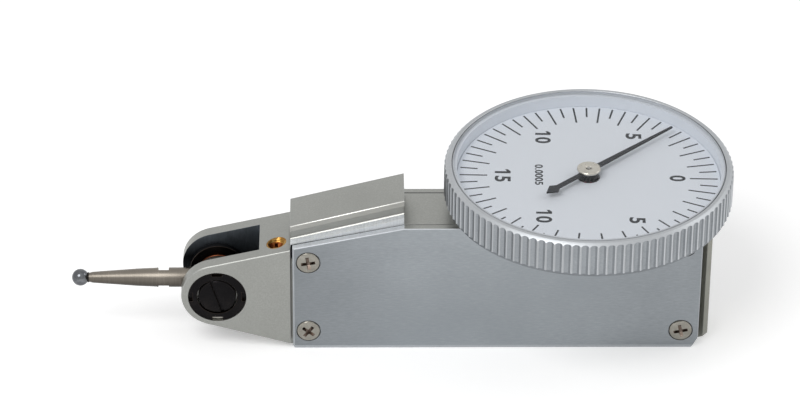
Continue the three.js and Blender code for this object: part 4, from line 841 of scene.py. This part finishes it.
# Cover screws, nickel plated, eight alike: a head with a low dome and a cross recess, let into the
# plate so that the dome alone stands proud.
nickel = metal(
    "nickel", (142, 139, 131), (190, 187, 178), (98, 92, 85),
    lines=(10, 2, 10), strength=0.3, cloud=0.8, clouds=0.4, roughness=0.2, spread=0.1, relief=0.3)
recess_shade = metal(
    "cross_recess_painted_shade", (106, 94, 86), (176, 164, 152), (46, 38, 34),
    lines=(8, 8, 8), strength=0.5, cloud=0.4, clouds=0.6, roughness=0.3, relief=0.3)
screw_level = 4.21
thread_radius, head_radius = 0.65, 1.35
cover_screw = turned("cover_screw", [
    (0, -2.9), (0.5, -2.9), (thread_radius, -2.7), (thread_radius, -0.34), (head_radius, -0.34),
    (head_radius, 0.04), (1.3, 0.12), (1.12, 0.18), (0.75, 0.23), (0, 0.25),
], 80)
dress(cover_screw, [nickel, recess_shade])
for quarter in (0, 1):
    wing = prism("wing", [(-1.1, 0.5), (-0.45, -0.2), (0.45, -0.2), (1.1, 0.5)], "Y", -0.2, 0.2)
    put(wing, (0, 0, 0), (90 * quarter, "Z"))
    machine(cover_screw, wing)
# Painted shade in the cross recess.
paint(cover_screw, lambda middle, facing: recess_shade if middle.xy.length < 0.9
      and -0.25 < middle.z < 0.2 and (abs(facing.z) < 0.8 or middle.z < -0.1) else None)
round_edges(cover_screw, 0.025, [])
for side, name, cross_turns in ((-1, "near", (-9, 38, 12, -12)), (1, "far", (40, 71, 5, 33))):
    for number, (place, degrees) in enumerate(zip(screw_places, cross_turns), 1):
        hold(cover_screw)
        bpy.ops.object.duplicate()
        screw = bpy.context.object
        screw.name = f"{name}_cross_screw_{number}"
        put(screw, (place[0], screw_level, place[1]), (degrees, "Y"), (-90, "X"))
        to_side(screw, side)
        settle(screw, "case", "nickel", f"{name}_cover_screw_{number}")
bpy.data.objects.remove(cover_screw)


# Bezel, turned aluminium with a coin edge of 105 shallow flutes. It snaps over the dial base on a wire
# ring, carries the dial and the crystal, and turns by hand to set the zero.
satin_rim = metal(
    "satin_rim", (174, 177, 180), (206, 209, 212), (136, 139, 142),
    lines=(3, 3, 9), strength=0.3, cloud=5, clouds=0.25, roughness=0.44, spread=0.1, relief=0.3)
flute_painted_shade = metal(
    "flute_painted_shade", (148, 152, 156), (180, 184, 188), (112, 116, 120),
    lines=(4, 4, 6), strength=0.5, cloud=3, clouds=0.3, roughness=0.42, spread=0.1, relief=0.4)
flute_painted_deep_shade = metal(
    "flute_painted_deep_shade", (126, 130, 134), (148, 152, 156), (86, 90, 94),
    lines=(4, 4, 6), strength=0.5, cloud=3, clouds=0.3, roughness=0.42, spread=0.1, relief=0.4)
ridge_painted_highlight = metal(
    "ridge_painted_highlight", (182, 185, 188), (226, 228, 230), (160, 163, 166),
    lines=(3, 3, 8), strength=0.4, cloud=2, clouds=0.3, roughness=0.36, spread=0.1, relief=0.2)
dial_white = metal(
    "dial_white", (237, 242, 249), (243, 247, 253), (227, 233, 240),
    lines=(2, 2, 2), strength=0.06, cloud=6, clouds=0.12, roughness=0.5, spread=0.05, relief=0.08,
    metallic=0.0)
flutes = 105
flute_depth = 0.19
flute_top, flute_foot = 22.66, 19.0
bezel_radius = 16.74
bezel_low, bezel_high = 18.55, 23.07
well_radius, recess_radius, skirt_inside = 15.3, 15.86, 15.45
crystal_seat = 22.68
web_low, dial_seat = 20.2, 20.75
# Each corner has a radius, a height and the share of the flute's depth that is taken off there.
wall = [
    (14.5, web_low, 0), (well_radius, web_low, 0), (well_radius, dial_seat, 0),
    (well_radius, crystal_seat, 0), (recess_radius, crystal_seat, 0), (recess_radius, 23.03, 0),
    (15.9, bezel_high, 0), (16.28, bezel_high, 0), (16.36, 23.03, 0), (bezel_radius, flute_top, 1),
    (bezel_radius, 22.4, 1), (bezel_radius, 20.8, 1), (bezel_radius, flute_foot, 1), (16.5, 18.93, 0),
    (16.46, 18.62, 0), (16.38, bezel_low, 0), (15.6, bezel_low, 0), (skirt_inside, 18.6, 0),
    (skirt_inside, web_low, 0),
]
steps = 8
bpy.ops.object.select_all(action="DESELECT")
bpy.ops.mesh.primitive_grid_add(x_subdivisions=steps, y_subdivisions=len(wall), size=1)
bezel = bpy.context.object
bezel.name = "coin_edge_bezel"
for index, corner in enumerate(bezel.data.vertices):
    row, column = divmod(index, steps + 1)
    radius, height, fluted = wall[row % len(wall)]
    share = column / steps
    cut = fluted * flute_depth * (1 - abs(2 * share - 1) ** 2.2)
    angle = 2 * math.pi / flutes * share
    # The cone of the rim runs on into each flute, so the flute's upper edge is an arc.
    rise = cut if height == flute_top else 0
    corner.co = ((radius - cut) * math.cos(angle), (radius - cut) * math.sin(angle), height + rise)
bpy.ops.object.mode_set(mode="EDIT")
bpy.ops.mesh.select_all(action="SELECT")
bpy.ops.mesh.spin(steps=flutes, dupli=True, angle=2 * math.pi, center=(0, 0, 0), axis=(0, 0, 1))
bpy.ops.mesh.select_all(action="SELECT")
bpy.ops.mesh.remove_doubles(threshold=2e-3)
faced_outwards(bezel)
smooth(bezel, 26)


def bezel_finish(middle, facing):
    """The finish of the bezel at one of its faces, or none where it is the plain satin rim."""
    out = middle.xy.length
    share = math.atan2(middle.y, middle.x) * flutes / (2 * math.pi) % 1
    if out < 15.8 and middle.z > 20.6:
        return dial_white
    # Painted shade in the joint round the crystal.
    if out < 15.87 and middle.z > 22.7:
        return seam_painted_shade
    # Painted shade on the plain ring under the flutes.
    if out > 16.3 and middle.z < flute_foot:
        return flute_painted_deep_shade
    # Painted shade in each flute, deepest on one side, and a painted highlight on its ridge.
    if out > 16.46 and flute_foot < middle.z < flute_top:
        for end, finish in ((0.12, satin_rim), (0.6, flute_painted_shade), (0.86, flute_painted_deep_shade)):
            if share < end:
                return finish
        return ridge_painted_highlight
    return None


dress(bezel, [satin_rim, dial_white, flute_painted_shade, flute_painted_deep_shade, ridge_painted_highlight, seam_painted_shade])
paint(bezel, bezel_finish)
settle(bezel, "bezel_ring", "bezel_chrome", "bezel")


# Dial, a thin white plate printed with sixty marks round its edge, alternately long and short, and
# plain numbers that count up on both sides from the zero at the rear.
print_ink = metal(
    "print_ink", (38, 41, 46), (70, 74, 80), (32, 34, 38),
    lines=(6, 6, 6), strength=0.3, cloud=0.8, clouds=0.3, roughness=0.55, spread=0.08, relief=0.1,
    metallic=0.0)
dial_face = 21.25
dial_radius, dial_bore = 15.25, 1.3
dial = turned("dial_plate", [
    (dial_bore, dial_seat), (dial_radius - 0.05, dial_seat), (dial_radius, dial_seat + 0.05),
    (dial_radius, dial_face - 0.03), (dial_radius - 0.03, dial_face), (dial_bore + 0.03, dial_face),
    (dial_bore, dial_face - 0.03),
], 192)
round_edges(dial, 0.01, [dial_white], 1, 60)
settle(dial, "bezel_ring", "dial_white", "dial")

dial_turn = -1.93
mark_turn = 6
long_mark, short_mark, mark_end = 11.73, 12.93, 14.94
half_mark = 0.105
ink_low, ink_high = dial_face - 0.005, dial_face + 0.012
prints = []
for number in range(60):
    start = short_mark if number % 2 else long_mark
    mark = block("mark", (start, -half_mark, ink_low), (mark_end, half_mark, ink_high))
    put(mark, (0, 0, 0), (mark_turn * number + dial_turn, "Z"))
    prints.append(mark)
tall = 1.85
for words, degrees, reach, height, width in (
    ("0", 0, 10.3, tall, 1.2), ("5", 58.6, 10.4, tall, 1.2), ("5", -58.6, 10.4, tall, 1.2),
    ("10", 122, 9.85, tall, 2.6), ("10", -122, 9.85, tall, 2.6), ("15", 180, 9.95, tall, 2.6),
    ("0.0005", 177, 5.75, 0.95, 4.3),
):
    bpy.ops.object.select_all(action="DESELECT")
    bpy.ops.object.text_add()
    figures = bpy.context.object
    for key, value in (
        ("body", words), ("align_x", "CENTER"), ("align_y", "CENTER"), ("size", 2.6),
        ("space_character", 1.05), ("offset", 0.07), ("extrude", 0.5), ("resolution_u", 6),
    ):
        setattr(figures.data, key, value)
    bpy.ops.object.convert(target="MESH")
    figures = bpy.context.object
    xs = [corner.co.x for corner in figures.data.vertices]
    ys = [corner.co.y for corner in figures.data.vertices]
    if words.startswith("1"):
        # The plain typeface draws its 1 as a bar, so the stroke that leans on its head is added.
        left, head = min(xs), max(ys)
        stroke_end = left - 0.4
        stroke = prism("stroke", [
            (stroke_end, head - 0.66), (left + 0.1, head - 0.4), (left + 0.1, head), (left - 0.02, head),
            (stroke_end, head - 0.34),
        ], "Z", -0.5, 0.5)
        figures = joined("figures", (figures, stroke))
        xs.append(stroke_end)
    put(figures, (-(max(xs) + min(xs)) / 2, -(max(ys) + min(ys)) / 2, 0))
    wider, taller = width / (max(xs) - min(xs)), height / (max(ys) - min(ys))
    figures.data.transform(Matrix.Diagonal((wider, taller, ink_high - ink_low, 1)))
    angle = math.radians(degrees + dial_turn)
    place = (reach * math.cos(angle), reach * math.sin(angle), (ink_low + ink_high) / 2)
    put(figures, place, (dial_turn - 90, "Z"))
    prints.append(figures)
dial_print = joined("dial_print", prints)
dress(dial_print, [print_ink])
settle(dial_print, "bezel_ring", "dial_white")


# Hand, a slim dark grey strip with a round eye and an arrow-shaped tail, pressed on the centre arbor
# between a black collar under it and a nickel disc on top.
hand_grey = metal(
    "hand_grey", (38, 40, 44), (64, 68, 73), (22, 24, 27),
    lines=(3, 3, 3), strength=0.25, cloud=2, clouds=0.3, roughness=0.42, relief=0.2, metallic=0.6)
arbor_radius, eye_radius = 0.3, 1.2
hand_low, hand_high = 22.0, 22.2
hand_reach, tail_reach = 13.9, -6.9
half_root, half_tip, half_neck, half_arrow = 0.375, 0.12, 0.29, 0.74
hand = prism("hand_strip", [
    (0, -half_root), (hand_reach, -half_tip), (hand_reach, half_tip), (0, half_root), (0, half_neck),
    (-5.0, half_neck), (-5.7, half_arrow), (tail_reach, 0), (-5.7, -half_arrow), (-5.0, -half_neck),
    (0, -half_neck),
], "Z", hand_low, hand_high)
machine(hand, bar("eye", eye_radius, hand_low, hand_high, "Z", (0, 0), 64), "UNION")
machine(hand, bar("arbor_hole", arbor_radius, 20, 24, "Z", (0, 0), 32))
round_edges(hand, 0.04, [hand_grey])
put(hand, (0, 0, 0), (42.4, "Z"))
settle(hand, "pointer", "hand_grey", "hand")

collar_low, collar_radius = 21.34, 1.13
collar = turned("collar", [
    (arbor_radius, collar_low), (collar_radius - 0.08, collar_low), (collar_radius, collar_low + 0.08),
    (collar_radius, hand_low - 0.08), (collar_radius - 0.08, hand_low), (arbor_radius, hand_low),
], 96)
round_edges(collar, 0.02, [black_steel], 1)
settle(collar, "pointer", "black_oxide", "hand_collar")

hub_nickel = metal(
    "hub_nickel", (198, 194, 184), (232, 229, 222), (164, 158, 148),
    lines=(5, 5, 5), strength=0.25, cloud=0.9, clouds=0.4, roughness=0.28, relief=0.25)
disc_radius, disc_top = 1.37, 22.54
disc = turned("hand_disc", [
    (arbor_radius, hand_high), (disc_radius - 0.1, hand_high), (disc_radius, hand_high + 0.08),
    (disc_radius, disc_top - 0.08), (disc_radius - 0.08, disc_top), (0.42, disc_top),
    (arbor_radius, disc_top - 0.1),
], 128)
round_edges(disc, 0.015, [hub_nickel], 1)
settle(disc, "pointer", "nickel", "hand_hub")


# Crystal, a flat disc of clear plastic with a polished edge, pressed into the bezel over the hand.
crystal_low, crystal_high = 22.72, 23.15
crystal_edge = 15.76
crystal = turned("crystal_disc", [
    (0, crystal_low), (crystal_edge - 0.04, crystal_low), (crystal_edge, crystal_low + 0.04),
    (crystal_edge, crystal_high - 0.1), (crystal_edge - 0.1, crystal_high), (0, crystal_high),
], 192)
smooth(crystal, 30)
clear = bpy.data.materials.new("clear_crystal")
clear.use_nodes = True
tree = clear.node_tree
shader = tree.nodes["Principled BSDF"].inputs
shader["Base Color"].default_value = (0.2, 0.21, 0.22, 1)
shader["IOR"].default_value = 1.49
haze = spread_out(tree, noise(tree, place_on(tree), Scale=900.0), To_Min=0.02, To_Max=0.05)
tree.links.new(haze, shader["Roughness"])
# Seen straight on it is almost clear, and towards grazing angles it turns into a thin veil.
edge_on = wire(tree, "ShaderNodeLayerWeight", Blend=0.25).outputs["Facing"]
tree.links.new(spread_out(tree, edge_on, To_Min=0.02, To_Max=0.22), shader["Alpha"])
frosted_edge = metal(
    "frosted_edge", (196, 200, 205), (220, 224, 228), (166, 170, 175),
    lines=(3, 3, 9), strength=0.3, cloud=3, clouds=0.2, roughness=0.5, relief=0.2, metallic=0.0)
dress(crystal, [clear, frosted_edge])
paint(crystal, lambda middle, facing: frosted_edge if middle.xy.length > 15.6 and abs(facing.z) < 0.9
      else None)
settle(crystal, "bezel_ring", "crystal_clear", "crystal")

bpy.context.scene.view_settings.view_transform = "Standard"
